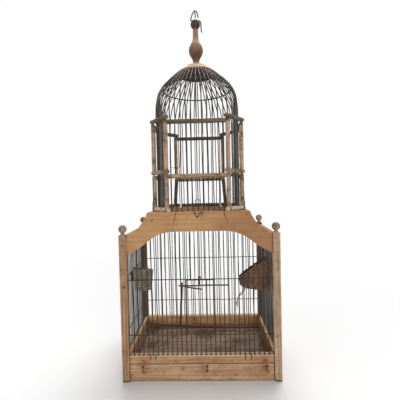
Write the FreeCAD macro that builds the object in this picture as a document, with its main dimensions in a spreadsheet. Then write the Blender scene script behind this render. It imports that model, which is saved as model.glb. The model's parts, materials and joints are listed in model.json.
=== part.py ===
import FreeCAD, Part
import math
import os
import re
from FreeCAD import Vector

# A free-standing wooden bird cage: a base with a tray, a narrower turret with cut corners and a wire dome.
# Lengths are millimetres. The front faces -Y, and the feet stand on Z = 0.

SIZES = {
    "base_width": 420,
    "base_depth": 266,
    "post_width": 18,
    "post_height": 390,
    "board_thickness": 14,
    "board_height": 68,
    "ground_gap": 1,
    "sill_height": 23,
    "ball_radius": 10.8,
    "ball_neck_radius": 4.5,
    "ball_neck_height": 6,
    "ball_collar_radius": 7,
    "ball_tenon_radius": 4,
    "ball_tenon_length": 14,
    "spring_drop_height": 53,
    "arch_rise_height": 60,
    "header_web_height": 51,
    "header_top_half_width": 134,
    "arch_crown_half_width": 65,
    "arch_radius": 110,
    "arch_slope": 40,
    "arch_flare": 2.4,
    "shoulder_radius": 108,
    "shoulder_drop_height": 5,
    "shoulder_thickness": 6,
    "shoulder_step_depth": 2,
    "top_rail_height": 30,
    "wire_radius": 1.1,
    "wire_seat_depth": 8,
    "wire_fit_gap": 0.06,
    "wire_touch_gap": 0.15,
    "front_spaces": 30,
    "side_spaces": 18,
    "cross_low_height": 53,
    "cross_gap_height": 148,
    "door_half_spaces": 3,
    "door_margin_gap": 2.9,
    "door_eye_gap": 0.4,
    "door_eye_radius": 0.9,
    "door_eye_inset_height": 16,
    "door_bar_count": 3,
    "door_hook_length": 20,
    "door_hook_depth": 4,
    "door_hook_lean_depth": 1.6,
    "turret_half_width": 121,
    "corner_cut_width": 40,
    "corner_cut_depth": 48,
    "turret_wire_gap": 11,
    "turret_face_wires": 11,
    "turret_corner_wires": 3,
    "turret_sill_height": 18,
    "header_wire_gap": 3,
    "stick_radius": 6,
    "diagonal_overhang_length": 11,
    "rail_overhang_length": 6,
    "base_rail_inset_length": 14,
    "lower_tier_height": 94,
    "upper_tier_height": 141,
    "hoop_inset_depth": 12.75,
    "hoop_rise_height": 129,
    "crown_radius": 31,
    "crown_rise_height": 58.5,
    "crown_sag_height": 5,
    "boss_radius": 55,
    "boss_rim_height": 5,
    "finial_foot_radius": 29,
    "finial_foot_height": 3,
    "finial_waist_radius": 9,
    "finial_waist_height": 20.3,
    "finial_belly_radius": 21.7,
    "finial_belly_height": 55.3,
    "finial_stem_radius": 8,
    "finial_stem_height": 91.3,
    "finial_ball_radius": 14.2,
    "finial_ball_height": 134.3,
    "finial_tenon_radius": 6,
    "finial_tenon_length": 12,
    "loop_hole_height": 6,
    "loop_hole_gap": 0.3,
    "loop_wire_radius": 1.5,
    "loop_height": 37,
    "loop_side_gap": 1.8,
    "loop_tail_width": 4,
    "loop_tail_length": 30,
    "loop_bend_radius": 3,
    "tray_side_gap": 0.6,
    "tray_back_gap": 3,
    "tray_wall_thickness": 8,
    "tray_wall_height": 7,
    "tray_floor_thickness": 6,
    "runner_top_height": 24,
    "runner_width": 10,
    "runner_height": 8,
    "runner_gap": 0.3,
    "hook_left_inset_width": 36,
    "hook_right_inset_width": 21,
    "pull_offset_width": 14,
    "hook_drop_height": 5,
    "hook_length": 14,
    "pull_length": 7,
    "hook_radius": 0.9,
    "hook_curl_radius": 2.6,
    "hook_gap": 0.4,
    "nail_radius": 1,
    "nail_head_radius": 2.4,
    "nail_head_thickness": 0.8,
    "nail_depth": 8,
    "catch_lift_height": 10,
    "nest_offset_depth": -40,
    "nest_drop_height": 57,
    "nest_back_height": 95,
    "nest_lip_height": 37,
    "nest_top_radius": 56,
    "nest_bottom_radius": 46,
    "nest_centre_depth": 32,
    "cup_offset_depth": -50,
    "cup_drop_height": 48,
    "cup_back_height": 63,
    "cup_lip_height": 55,
    "cup_top_radius": 31,
    "cup_bottom_radius": 25,
    "basket_wall_thickness": 4,
    "rim_tilt_height": 15,
    "hanger_radius": 0.8,
    "hanger_drop_height": 24,
    "perch_radius": 4,
    "perch_back_depth": 31,
    "perch_height": 57,
    "perch_dip_width": 40,
    "perch_dip_height": 15,
    "perch_fall_height": 8,
    "perch_seat_depth": 8,
    "twig_radius": 3,
    "twig_offset_width": -76,
    "twig_lean_width": 9,
    "twig_height": 150.5,
    "arm_radius": 2.4,
    "arm_drop_height": 9,
    "arm_length": 170,
    "arm_tail_length": 12,
    "short_arm_width": 78,
    "short_arm_depth": 42,
    "chain_links": 13,
    "chain_link_radius": 2.6,
    "chain_wire_radius": 0.6,
    "chain_slack_gap": 0.3,
}

doc = FreeCAD.newDocument("bird_cage")
sheet = doc.addObject("Spreadsheet::Sheet", "sizes")
for row, (name, value) in enumerate(SIZES.items(), start=1):
    sheet.set(f"A{row}", name)
    sheet.set(f"B{row}", str(value))
    sheet.setAlias(f"B{row}", name)
doc.recompute()

subparts = []


def size(name):
    return float(sheet.get(name))


def keep(item, label):
    item.Label = label
    subparts.append(item)
    return item


def bind(item, place, formula):
    item.setExpression(place, re.sub(r"[a-z]+(?:_[a-z]+)+", lambda word: "sizes." + word.group(), formula))


def feature(label, shapes):
    item = doc.addObject("Part::Feature", label)
    item.Shape = shapes[0] if len(shapes) == 1 else Part.makeCompound(shapes)
    return item


def made(label, shapes):
    return keep(feature(label, shapes), label)


def block(label, lengths, corner):
    item = doc.addObject("Part::Box", label)
    for side, formula in zip(("Length", "Width", "Height"), lengths):
        bind(item, side, formula)
    for axis, formula in zip("xyz", corner):
        bind(item, "Placement.Base." + axis, formula)
    return item


def drilled(label, base, holes):
    cut = doc.addObject("Part::Cut", label)
    cut.Base = base
    cut.Tool = feature(label + "_holes", holes)
    return keep(cut, label)


def rod(start, end, radius):
    along = end - start
    return Part.makeCylinder(radius, along.Length, start, along)


def swept(edges, radius):
    first = edges[0]
    start = first.valueAt(first.FirstParameter)
    ring = Part.makeCircle(radius, start, first.tangentAt(first.FirstParameter))
    return Part.Wire(edges).makePipeShell([Part.Wire(ring)], True, False)


def line(start, end):
    return Part.LineSegment(start, end).toShape()


def bent(points, radius, bend):
    edges = []
    here = points[0]
    for before, corner, after in zip(points, points[1:], points[2:]):
        back = (before - corner).normalize()
        onward = (after - corner).normalize()
        half = back.getAngle(onward) / 2
        inward = (back + onward).normalize()
        first = corner + back * (bend / math.tan(half))
        last = corner + onward * (bend / math.tan(half))
        crown = corner + inward * (bend / math.sin(half) - bend)
        edges.append(line(here, first))
        edges.append(Part.Arc(first, crown, last).toShape())
        here = last
    edges.append(line(here, points[-1]))
    return swept(edges, radius)


def sketched(label, outline):
    body = doc.addObject("PartDesign::Body", label)
    sketch = body.newObject("Sketcher::SketchObject", label + "_outline")
    planes = [plane for plane in body.Origin.OriginFeatures if plane.Role == "XZ_Plane"]
    sketch.AttachmentSupport = (planes[0], [""])
    sketch.MapMode = "FlatFace"
    for stroke in outline:
        sketch.addGeometry(stroke, False)
    return body, sketch


def turned(label, outline):
    body, sketch = sketched(label, outline)
    turn = body.newObject("PartDesign::Revolution", label + "_turning")
    turn.Profile = sketch
    turn.ReferenceAxis = (sketch, ["V_Axis"])
    turn.Angle = 360
    return body


def strokes(points):
    return [Part.LineSegment(Vector(*a, 0), Vector(*b, 0)) for a, b in zip(points, points[1:])]


def arc(start, middle, end):
    return Part.Arc(Vector(*start, 0), Vector(*middle, 0), Vector(*end, 0))


# Planes shared by the boards, wires and sticks
inner_x = size("base_width") / 2 - size("post_width")
inner_y = size("base_depth") / 2 - size("post_width")
panel_x = inner_x + size("board_thickness") / 2
panel_y = inner_y + size("board_thickness") / 2
wire = size("wire_radius")
seat = size("wire_seat_depth")
touch = size("wire_touch_gap")
lap = 2 * wire + touch
stick = size("stick_radius")
turret_wire_y = inner_y + size("header_wire_gap")
turret_y = turret_wire_y + wire + touch + stick
turret_x = size("turret_half_width")
turret_wire_x = turret_x - wire - touch - stick
board_top = size("ground_gap") + size("board_height")
sill_low = board_top - size("sill_height")
cross_low = board_top + size("cross_low_height")
cross_high = cross_low + size("cross_gap_height")
shoulder_low = size("post_height") - size("shoulder_drop_height")
header_spring = size("post_height") - size("spring_drop_height")
header_crown = header_spring + size("arch_rise_height")
header_top = header_crown + size("header_web_height")
middle_ring = header_top + size("lower_tier_height")
upper_ring = middle_ring + size("upper_tier_height")
hook_left = -inner_x + size("hook_left_inset_width")
hook_right = inner_x - size("hook_right_inset_width")
sill_low_text = "(ground_gap + board_height - sill_height)"
shoulder_low_text = "(post_height - shoulder_drop_height)"
header_top_text = "(post_height - spring_drop_height + arch_rise_height + header_web_height)"
floor_low_text = "(runner_top_height + runner_gap)"
corners = [(x, y) for x in (-1, 1) for y in (-1, 1)]
side_name = {-1: "left", 1: "right"}
end_name = {-1: "front", 1: "back"}


# Arched header: crown, rounded haunch and flared foot below, hollow shoulder above
class Header:
    slope = math.radians(size("arch_slope"))
    haunch = (
        size("arch_crown_half_width") + size("arch_radius") * math.sin(slope),
        header_crown - size("arch_radius") * (1 - math.cos(slope)),
    )
    foot = (inner_x, header_spring)
    chord = (foot[0] - haunch[0], foot[1] - haunch[1])
    chord_length = math.hypot(*chord)
    sag = (
        haunch[0] + chord[0] / 2 + size("arch_flare") * chord[1] / chord_length,
        haunch[1] + chord[1] / 2 - size("arch_flare") * chord[0] / chord_length,
    )
    flare = arc(haunch, sag, foot).toShape().Curve
    shoulder_top = (size("header_top_half_width"), header_top)
    shoulder_foot = (inner_x, shoulder_low)
    fall = (shoulder_foot[0] - shoulder_top[0], shoulder_top[1] - shoulder_foot[1])
    half_fall = math.hypot(*fall) / 2
    apart = math.sqrt(size("shoulder_radius") ** 2 - half_fall**2) / (2 * half_fall)
    shoulder_centre = (
        (shoulder_top[0] + shoulder_foot[0]) / 2 + fall[1] * apart,
        (shoulder_top[1] + shoulder_foot[1]) / 2 + fall[0] * apart,
    )


def arch_height(x):
    x = abs(x)
    if x <= size("arch_crown_half_width"):
        return header_crown
    if x <= Header.haunch[0]:
        across = x - size("arch_crown_half_width")
        return header_crown - size("arch_radius") + math.sqrt(size("arch_radius") ** 2 - across**2)
    return Header.flare.Center.y - math.sqrt(Header.flare.Radius**2 - (x - Header.flare.Center.x) ** 2)


def header_outline():
    def mirrored(point):
        return (-point[0], point[1])

    crown_edge = (size("arch_crown_half_width"), header_crown)
    half = Header.slope / 2
    haunch_middle = (
        size("arch_crown_half_width") + size("arch_radius") * math.sin(half),
        header_crown - size("arch_radius") * (1 - math.cos(half)),
    )
    reach = size("shoulder_radius") / math.hypot(Header.fall[1], Header.fall[0])
    hollow = (
        Header.shoulder_centre[0] - Header.fall[1] * reach,
        Header.shoulder_centre[1] - Header.fall[0] * reach,
    )
    outline = strokes([mirrored(crown_edge), crown_edge])
    outline += strokes([mirrored(Header.shoulder_top), Header.shoulder_top])
    for flip in (lambda point: point, mirrored):
        outline.append(arc(flip(crown_edge), flip(haunch_middle), flip(Header.haunch)))
        outline.append(arc(flip(Header.haunch), flip(Header.sag), flip(Header.foot)))
        outline += strokes([flip(Header.foot), flip(Header.shoulder_foot)])
        outline.append(arc(flip(Header.shoulder_foot), flip(hollow), flip(Header.shoulder_top)))
    return outline


# Upright wires of the base: front and back stand across X, the sides across Y
def spread(gaps, length):
    pitch = 2 * length / gaps
    return [-length + pitch * step for step in range(1, int(gaps))]


front_places = spread(size("front_spaces"), inner_x)
side_places = spread(size("side_spaces"), inner_y)
front_pitch = 2 * inner_x / size("front_spaces")
door_half = front_pitch * size("door_half_spaces")
low_end = board_top - seat
side_high_end = shoulder_low - size("top_rail_height") + seat


def upright(x, y, low, high):
    return rod(Vector(x, y, low), Vector(x, y, high), wire)


def hole(x, y, low, high):
    return rod(Vector(x, y, low), Vector(x, y, high), wire + size("wire_fit_gap"))


def in_doorway(x):
    return abs(x) < door_half - front_pitch / 2


front_wires = {"front_wires_left": [], "front_wires_right": [], "front_wires_door": []}
for x in front_places:
    top = arch_height(x) + seat
    if in_doorway(x):
        under_door = upright(x, -panel_y, low_end, cross_low + wire + touch)
        over_door = upright(x, -panel_y, cross_high - wire - touch, top)
        front_wires["front_wires_door"] += [under_door, over_door]
    else:
        beside = "front_wires_left" if x < 0 else "front_wires_right"
        front_wires[beside].append(upright(x, -panel_y, low_end, top))
for label, wires in front_wires.items():
    made(label, wires)
back_wires = [upright(x, panel_y, low_end, arch_height(x) + seat) for x in front_places]
made("back_wires", back_wires)
for x_side, label in side_name.items():
    wires = [upright(x_side * panel_x, y, low_end, side_high_end) for y in side_places]
    made(label + "_wires", wires)

# Cross wires lie outside the uprights and end in the posts
cross_rods = []
for height in (cross_low, cross_high):
    for sign in (-1, 1):
        across = sign * (panel_y + lap)
        reach = inner_x + seat / 2
        cross_rods.append((Vector(-reach, across, height), Vector(reach, across, height)))
        across = sign * (panel_x + lap)
        reach = inner_y + seat / 2
        cross_rods.append((Vector(across, -reach, height), Vector(across, reach, height)))
made("cross_wires", [rod(a, b, wire) for a, b in cross_rods])
cross_holes = [rod(a, b, wire + size("wire_fit_gap")) for a, b in cross_rods]

# Corner posts, bored for the ball tenons and the cross wires
for x_side, y_side in corners:
    label = f"corner_post_{end_name[y_side]}_{side_name[x_side]}"
    left = "-base_width / 2" if x_side < 0 else "base_width / 2 - post_width"
    near = "-base_depth / 2" if y_side < 0 else "base_depth / 2 - post_width"
    post = block(label + "_stock", ("post_width", "post_width", "post_height"), (left, near, "0"))
    half_post = size("post_width") / 2
    centre = Vector(x_side * (inner_x + half_post), y_side * (inner_y + half_post), size("post_height"))
    socket_foot = centre - Vector(0, 0, size("ball_tenon_length"))
    socket = rod(socket_foot, centre, size("ball_tenon_radius") + size("wire_fit_gap"))
    drilled(label, post, cross_holes + [socket])

# Turned ball finials, one on each post
ball_rise = size("ball_neck_height") + math.sqrt(size("ball_radius") ** 2 - size("ball_neck_radius") ** 2)
ball_outline = strokes(
    [
        (0, ball_rise + size("ball_radius")),
        (0, -size("ball_tenon_length")),
        (size("ball_tenon_radius"), -size("ball_tenon_length")),
        (size("ball_tenon_radius"), 0),
        (size("ball_collar_radius"), 0),
        (size("ball_neck_radius"), size("ball_neck_height")),
    ]
)
ball_outline.append(
    arc(
        (size("ball_neck_radius"), size("ball_neck_height")),
        (size("ball_radius"), ball_rise),
        (0, ball_rise + size("ball_radius")),
    )
)
balls = []
for x_side, y_side in corners:
    ball = turned(f"ball_finial_{end_name[y_side]}_{side_name[x_side]}", ball_outline)
    bind(ball, "Placement.Base.x", f"{x_side} * (base_width / 2 - post_width / 2)")
    bind(ball, "Placement.Base.y", f"{y_side} * (base_depth / 2 - post_width / 2)")
    bind(ball, "Placement.Base.z", "post_height")
    balls.append(ball)
ball_set = doc.addObject("Part::Compound", "ball_finials")
ball_set.Links = balls
keep(ball_set, "ball_finials")

# Sill, back board and side boards, bored for the uprights
long_board = "base_width - 2 * post_width"
short_board = "base_depth - 2 * post_width"
front_holes = [hole(x, -panel_y, low_end, arch_height(x) + seat) for x in front_places]
back_holes = [hole(x, panel_y, low_end, arch_height(x) + seat) for x in front_places]
far_left = "-base_width / 2 + post_width"
front_face = "-base_depth / 2 + post_width - board_thickness"
back_face = "base_depth / 2 - post_width"
catch_rods = [
    Vector(x, -inner_y - size("board_thickness") + size("nail_depth"), sill_low + size("catch_lift_height"))
    for x in (hook_left, hook_right)
]


def nail(tip, length, margin=0):
    return rod(tip, tip - Vector(0, length, 0), size("nail_radius") + margin)


sill_corner = (far_left, front_face, sill_low_text)
sill = block("front_sill_stock", (long_board, "board_thickness", "sill_height"), sill_corner)
catch_holes = [nail(tip, size("nail_depth"), size("wire_fit_gap")) for tip in catch_rods]
drilled("front_sill", sill, front_holes + catch_holes)
back_corner = (far_left, back_face, "ground_gap")
back = block("back_board_stock", (long_board, "board_thickness", "board_height"), back_corner)
drilled("back_board", back, back_holes)

perch_y = inner_y - size("perch_back_depth")
perch_z = size("perch_height")
perch_reach = inner_x + size("perch_seat_depth")
perch_left = Vector(-perch_reach, perch_y, perch_z)
perch_dip = Vector(size("perch_dip_width"), perch_y, perch_z - size("perch_dip_height"))
perch_right = Vector(perch_reach, perch_y, perch_z - size("perch_fall_height"))
perch_line = Part.Arc(perch_left, perch_dip, perch_right).toShape()
perch_hole = swept([perch_line], size("perch_radius") + size("wire_fit_gap"))
for x_side, label in side_name.items():
    near = "base_width / 2 - post_width" if x_side > 0 else "-base_width / 2 + post_width - board_thickness"
    board = block(
        label + "_side_board_stock",
        ("board_thickness", short_board, "board_height"),
        (near, "-base_depth / 2 + post_width", "ground_gap"),
    )
    holes = [hole(x_side * panel_x, y, low_end, side_high_end) for y in side_places]
    drilled(label + "_side_board", board, holes + [perch_hole])
    rail = block(
        label + "_top_rail_stock",
        ("board_thickness", short_board, "top_rail_height"),
        (near, "-base_depth / 2 + post_width", shoulder_low_text + " - top_rail_height"),
    )
    drilled(label + "_top_rail", rail, holes)

# Turret: places of the wires round the cut-cornered plan, in order round the axis
corner_x = turret_x - size("corner_cut_width")
corner_y = turret_y - size("corner_cut_depth")


def turret_run(corner):
    reach = corner - size("turret_wire_gap")
    count = int(size("turret_face_wires"))
    return [-reach + 2 * reach * step / (count - 1) for step in range(count)]


diagonal = Vector(turret_x - corner_x, turret_y - corner_y, 0)
inset = wire + touch + stick
square_off = Vector(diagonal.y, diagonal.x, 0).normalize() * inset
corner_count = int(size("turret_corner_wires"))
corner_run = []
for step in range(corner_count):
    share = (step + 0.5) / corner_count
    x = corner_x + diagonal.x * share - square_off.x
    y = turret_y - diagonal.y * share - square_off.y
    corner_run.append((x, y))
turret_places = {
    "front": [(x, -turret_wire_y) for x in turret_run(corner_x)],
    "back": [(x, turret_wire_y) for x in turret_run(corner_x)],
    "sides": [(x_side * turret_wire_x, y) for x_side in side_name for y in turret_run(corner_y)],
    "corners": [(a * x, b * y) for a, b in corners for x, y in corner_run],
}
turret_low = header_top - seat
upper_level = upper_ring + 2 * stick
turret_holes = []
for face, places in turret_places.items():
    low = header_top + touch if face == "corners" else turret_low
    label = f"turret_wires_{face}"
    made(label, [upright(x, y, low, upper_level) for x, y in places])
    turret_holes += [hole(x, y, low, upper_level) for x, y in places if face != "corners"]

# Header boards
for y_side, holes in ((-1, front_holes), (1, back_holes)):
    label = end_name[y_side] + "_header"
    body, sketch = sketched(label + "_stock", header_outline())
    pad = body.newObject("PartDesign::Pad", label + "_pad")
    pad.Profile = sketch
    bind(pad, "Length", "board_thickness")
    near = "-base_depth / 2 + post_width" if y_side < 0 else "base_depth / 2 - post_width + board_thickness"
    bind(body, "Placement.Base.y", near)
    drilled(label, body, holes + turret_holes)

# Shoulder boards bend from the side rails up to the turret sills
inner_radius = size("shoulder_radius") + size("shoulder_step_depth")
outer_radius = inner_radius + size("shoulder_thickness")
for x_side, label in side_name.items():
    centre = Vector(x_side * Header.shoulder_centre[0], -inner_y, Header.shoulder_centre[1])
    axis = Vector(0, 1, 0)
    tube = Part.makeCylinder(outer_radius, 2 * inner_y, centre, axis)
    tube = tube.cut(Part.makeCylinder(inner_radius, 2 * inner_y, centre, axis))
    width = inner_x - size("header_top_half_width")
    low_x = size("header_top_half_width") if x_side > 0 else -inner_x
    reach = header_top - header_spring
    clip = Part.makeBox(width, 2 * inner_y, reach, Vector(low_x, -inner_y, header_spring))
    made(label + "_shoulder", tube.common(clip).Solids)
    sill_inner = f"{x_side} * (turret_half_width - 2 * stick_radius - wire_seat_depth)"
    sill_outer = f"{x_side} * header_top_half_width"
    sill_width = "header_top_half_width - turret_half_width + 2 * stick_radius + wire_seat_depth"
    turret_sill = block(
        label + "_turret_sill_stock",
        (sill_width, short_board, "turret_sill_height"),
        (
            sill_inner if x_side > 0 else sill_outer,
            "-base_depth / 2 + post_width",
            header_top_text + " - turret_sill_height",
        ),
    )
    drilled(label + "_turret_sill", turret_sill, turret_holes)


# Round sticks of the turret, stacked at each corner: straight rail, diagonal rail, post
def straight_rails(level, faces, over):
    ends = {
        "front": (Vector(-corner_x - over, -turret_y, level), Vector(corner_x + over, -turret_y, level)),
        "back": (Vector(-corner_x - over, turret_y, level), Vector(corner_x + over, turret_y, level)),
        "left": (Vector(-turret_x, -corner_y - over, level), Vector(-turret_x, corner_y + over, level)),
        "right": (Vector(turret_x, -corner_y - over, level), Vector(turret_x, corner_y + over, level)),
    }
    return [rod(*ends[face], stick) for face in faces]


def diagonal_rails(level):
    over = Vector(diagonal.x, -diagonal.y, 0).normalize() * size("diagonal_overhang_length")
    rails = []
    for a, b in corners:
        start = Vector(a * (corner_x - over.x), b * (turret_y - over.y), level)
        end = Vector(a * (turret_x + over.x), b * (corner_y + over.y), level)
        rails.append(rod(start, end, stick))
    return rails


def posts(low, high, rails):
    places = [(a * corner_x, b * turret_y) for a, b in corners]
    places += [(a * turret_x, b * corner_y) for a, b in corners]
    made = []
    for x, y in places:
        post = rod(Vector(x, y, low), Vector(x, y, high), stick)
        made.append(post.cut(rails).Solids[0])
    return made


base_level = header_top + stick
everywhere = ("front", "back", "left", "right")
rail_over = size("rail_overhang_length")
base_diagonals = diagonal_rails(base_level)
middle_straights = straight_rails(middle_ring, everywhere, rail_over)
middle_diagonals = diagonal_rails(middle_ring + 2 * stick)
upper_straights = straight_rails(upper_ring, everywhere, rail_over)
upper_diagonals = diagonal_rails(upper_ring + 2 * stick)
base_rails = straight_rails(base_level, ("back", "left", "right"), -size("base_rail_inset_length"))
made("base_ring", base_rails + base_diagonals)
made("middle_ring_rails", middle_straights + middle_diagonals)
made("upper_ring_rails", upper_straights + upper_diagonals)
lower_posts = posts(base_level, middle_ring, base_diagonals + base_rails + middle_straights)
made("lower_turret_posts", lower_posts)
rails_met = middle_diagonals + middle_straights + upper_straights
upper_posts = posts(middle_ring + 2 * stick, upper_ring, rails_met)
made("upper_turret_posts", upper_posts)

# Dome: each wire bends in from its upright, meets the hoop at one slope and follows the crown's arc
hoop = (turret_wire_x - size("hoop_inset_depth"), upper_ring + size("hoop_rise_height"))
crown = (size("crown_radius"), hoop[1] + size("crown_rise_height"))
chord = math.dist(hoop, crown)
outward = ((crown[1] - hoop[1]) / chord, (hoop[0] - crown[0]) / chord)
crown_middle = (
    (hoop[0] + crown[0]) / 2 + outward[0] * size("crown_sag_height"),
    (hoop[1] + crown[1]) / 2 + outward[1] * size("crown_sag_height"),
)
crown_circle = arc(hoop, crown_middle, crown).toShape().Curve
crown_centre = (crown_circle.Center.x, crown_circle.Center.y)
crown_bend = crown_circle.Radius
inward = ((crown_centre[0] - hoop[0]) / crown_bend, (crown_centre[1] - hoop[1]) / crown_bend)


def dome_wire(x, y, reaches_boss):
    radius = math.hypot(x, y)

    def spot(point):
        return Vector(x / radius * point[0], y / radius * point[0], point[1])

    inset = radius - hoop[0]
    room = hoop[1] - upper_level
    rise = min(inset * -inward[1] / (1 + inward[0]), room)
    bend = (inset**2 + rise**2) / (2 * inset)
    half = math.asin(rise / bend) / 2
    spring = (radius, hoop[1] - rise)
    bow = (radius - bend * (1 - math.cos(half)), spring[1] + bend * math.sin(half))
    edges = [Part.Arc(spot(spring), spot(bow), spot(hoop)).toShape()]
    if rise < room:
        edges.insert(0, line(spot((radius, upper_level)), spot(spring)))
    if reaches_boss:
        edges.append(Part.Arc(spot(hoop), spot(crown_middle), spot(crown)).toShape())
    return swept(edges, wire)


every_place = [place for places in turret_places.values() for place in places]
round_the_dome = sorted(every_place, key=lambda place: math.atan2(*place))
made("dome_wires_long", [dome_wire(*place, True) for place in round_the_dome[::2]])
made("dome_wires_short", [dome_wire(*place, False) for place in round_the_dome[1::2]])
hoop_ring = (hoop[0] + inward[0] * lap, hoop[1] + inward[1] * lap)
ring = doc.addObject("Part::Torus", "dome_hoop")
ring.Radius1 = hoop_ring[0]
bind(ring, "Radius2", "wire_radius")
ring.Placement.Base = Vector(0, 0, hoop_ring[1])
keep(ring, "dome_hoop")

# Turned boss under the wires, with a socket for the top finial
boss_lift = wire + touch
boss_bend = crown_bend - boss_lift


def boss_point(radius):
    return (radius, crown_centre[1] + math.sqrt(boss_bend**2 - (radius - crown_centre[0]) ** 2))


rim = boss_point(size("boss_radius"))
boss_top = boss_point(size("finial_foot_radius"))
boss_low = rim[1] - size("boss_rim_height")
boss_outline = strokes([(0, boss_top[1]), (0, boss_low), (rim[0], boss_low), rim])
boss_outline.append(arc(rim, boss_point((rim[0] + boss_top[0]) / 2), boss_top))
boss_outline += strokes([boss_top, (0, boss_top[1])])
boss = turned("dome_boss_stock", boss_outline)
foot_height = boss_top[1]
finial_socket = rod(
    Vector(0, 0, foot_height - size("finial_tenon_length")),
    Vector(0, 0, foot_height),
    size("finial_tenon_radius") + size("wire_fit_gap"),
)
drilled("dome_boss", boss, [finial_socket])

# Turned top finial: flared foot, waist, belly, stem and ball
foot_radius = size("finial_foot_radius")
waist = (size("finial_waist_radius"), size("finial_waist_height"))
belly = (size("finial_belly_radius"), size("finial_belly_height"))
stem_low = (size("finial_stem_radius"), size("finial_stem_height"))
ball_radius = size("finial_ball_radius")
ball_centre = size("finial_ball_height")
stem_high = (stem_low[0], ball_centre - math.sqrt(ball_radius**2 - stem_low[0] ** 2))
foot_edge = (foot_radius, size("finial_foot_height"))
tenon = (size("finial_tenon_radius"), -size("finial_tenon_length"))
ball_top = (0, ball_centre + ball_radius)


def between(a, b, share_r, share_z):
    return (a[0] + (b[0] - a[0]) * share_r, a[1] + (b[1] - a[1]) * share_z)


finial_outline = strokes([ball_top, (0, tenon[1]), tenon, (tenon[0], 0), (foot_radius, 0), foot_edge])
finial_outline += [
    arc(foot_edge, between(foot_edge, waist, 0.75, 0.35), waist),
    arc(waist, between(waist, belly, 0.75, 0.42), belly),
    arc(belly, between(belly, stem_low, 0.42, 0.6), stem_low),
]
finial_outline += strokes([stem_low, stem_high])
finial_outline.append(arc(stem_high, (ball_radius, ball_centre), ball_top))
finial = turned("top_finial_stock", finial_outline)
finial.Placement.Base = Vector(0, 0, foot_height)
loop_axis = foot_height + ball_centre + size("loop_hole_height")
through = Vector(2 * ball_radius, 0, 0)
loop_centre = Vector(0, 0, loop_axis)
loop_hole_radius = size("loop_wire_radius") + size("loop_hole_gap")
loop_hole = rod(loop_centre - through, loop_centre + through, loop_hole_radius)
drilled("top_finial", finial, [loop_hole])

# Hanging loop: one wire through the ball, up to a point and back, with a tail on the right
loop_side = ball_radius + size("loop_side_gap")
loop_points = [
    Vector(loop_side * 0.55, 0, loop_axis + size("loop_height") * 0.38),
    Vector(0, 0, loop_axis + size("loop_height")),
    Vector(-loop_side, 0, loop_axis),
    Vector(loop_side, 0, loop_axis),
    Vector(loop_side + size("loop_tail_width"), 0, loop_axis - size("loop_tail_length")),
]
made("hanging_loop", [bent(loop_points, size("loop_wire_radius"), size("loop_bend_radius"))])

# Tray: front, floor, three low walls, and the runners that carry it
tray_half = "(base_width / 2 - post_width - tray_side_gap)"
tray_width = f"2 * {tray_half}"
tray_depth = "(base_depth - 2 * post_width - tray_back_gap)"
wall_low = floor_low_text + " + tray_floor_thickness"
tray_near = "-base_depth / 2 + post_width"
tray_front_corner = (f"-{tray_half}", front_face, "ground_gap")
tray_front_height = sill_low_text + " - 2 * ground_gap"
tray_front_lengths = (tray_width, "board_thickness", tray_front_height)
plain_front = block("tray_front_stock", tray_front_lengths, tray_front_corner)
floor_corner = (f"-{tray_half}", tray_near, floor_low_text)
keep(block("tray_floor", (tray_width, tray_depth, "tray_floor_thickness"), floor_corner), "tray_floor")
for x_side, label in side_name.items():
    near = f"-{tray_half}" if x_side < 0 else f"{tray_half} - tray_wall_thickness"
    wall = block(
        f"tray_{label}_wall",
        ("tray_wall_thickness", tray_depth, "tray_wall_height"),
        (near, tray_near, wall_low),
    )
    keep(wall, f"tray_{label}_wall")
back_corner = (
    f"-{tray_half} + tray_wall_thickness",
    f"{tray_near} + {tray_depth} - tray_wall_thickness",
    wall_low,
)
back_width = f"{tray_width} - 2 * tray_wall_thickness"
tray_back = block("tray_back_wall", (back_width, "tray_wall_thickness", "tray_wall_height"), back_corner)
keep(tray_back, "tray_back_wall")
runners = doc.addObject("Part::Compound", "tray_runners")
runners.Links = [
    block(
        label + "_runner",
        ("runner_width", short_board, "runner_height"),
        (
            far_left if x_side < 0 else "base_width / 2 - post_width - runner_width",
            tray_near,
            "runner_top_height - runner_height",
        ),
    )
    for x_side, label in side_name.items()
]
keep(runners, "tray_runners")

# Wire hooks and pull hang from nails in the tray front, below two catch nails in the sill
face_y = -inner_y - size("board_thickness")
hook_radius = size("hook_radius")
hook_y = face_y - hook_radius - size("hook_gap")
hook_eye = size("nail_radius") + size("loop_hole_gap") + hook_radius
pivot_z = sill_low - size("ground_gap") - size("hook_drop_height")
nail_out = 2 * (hook_radius + size("hook_gap"))


def headed_nail(x, z):
    tip = Vector(x, face_y + size("nail_depth"), z)
    shank = nail(tip, size("nail_depth") + nail_out)
    head_start = Vector(x, face_y - nail_out, z)
    head = rod(head_start, head_start - Vector(0, size("nail_head_thickness"), 0), size("nail_head_radius"))
    return shank.fuse(head)


def eye(x, z):
    return Part.makeTorus(hook_eye, hook_radius, Vector(x, hook_y, z), Vector(0, 1, 0))


def hook(x):
    curl = size("hook_curl_radius")
    low = pivot_z - size("hook_length")
    shank = line(Vector(x, hook_y, pivot_z - hook_eye), Vector(x, hook_y, low))
    bottom = Vector(x + curl, hook_y, low - curl)
    turn = Part.Arc(Vector(x, hook_y, low), bottom, Vector(x + 2 * curl, hook_y, low))
    return eye(x, pivot_z).fuse(swept([shank, turn.toShape()], hook_radius))


def pull(x):
    low = pivot_z - hook_eye - size("pull_length")
    shank = rod(Vector(x, hook_y, pivot_z - hook_eye), Vector(x, hook_y, low), hook_radius)
    return eye(x, pivot_z).fuse([shank, eye(x, low - hook_eye)])


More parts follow.
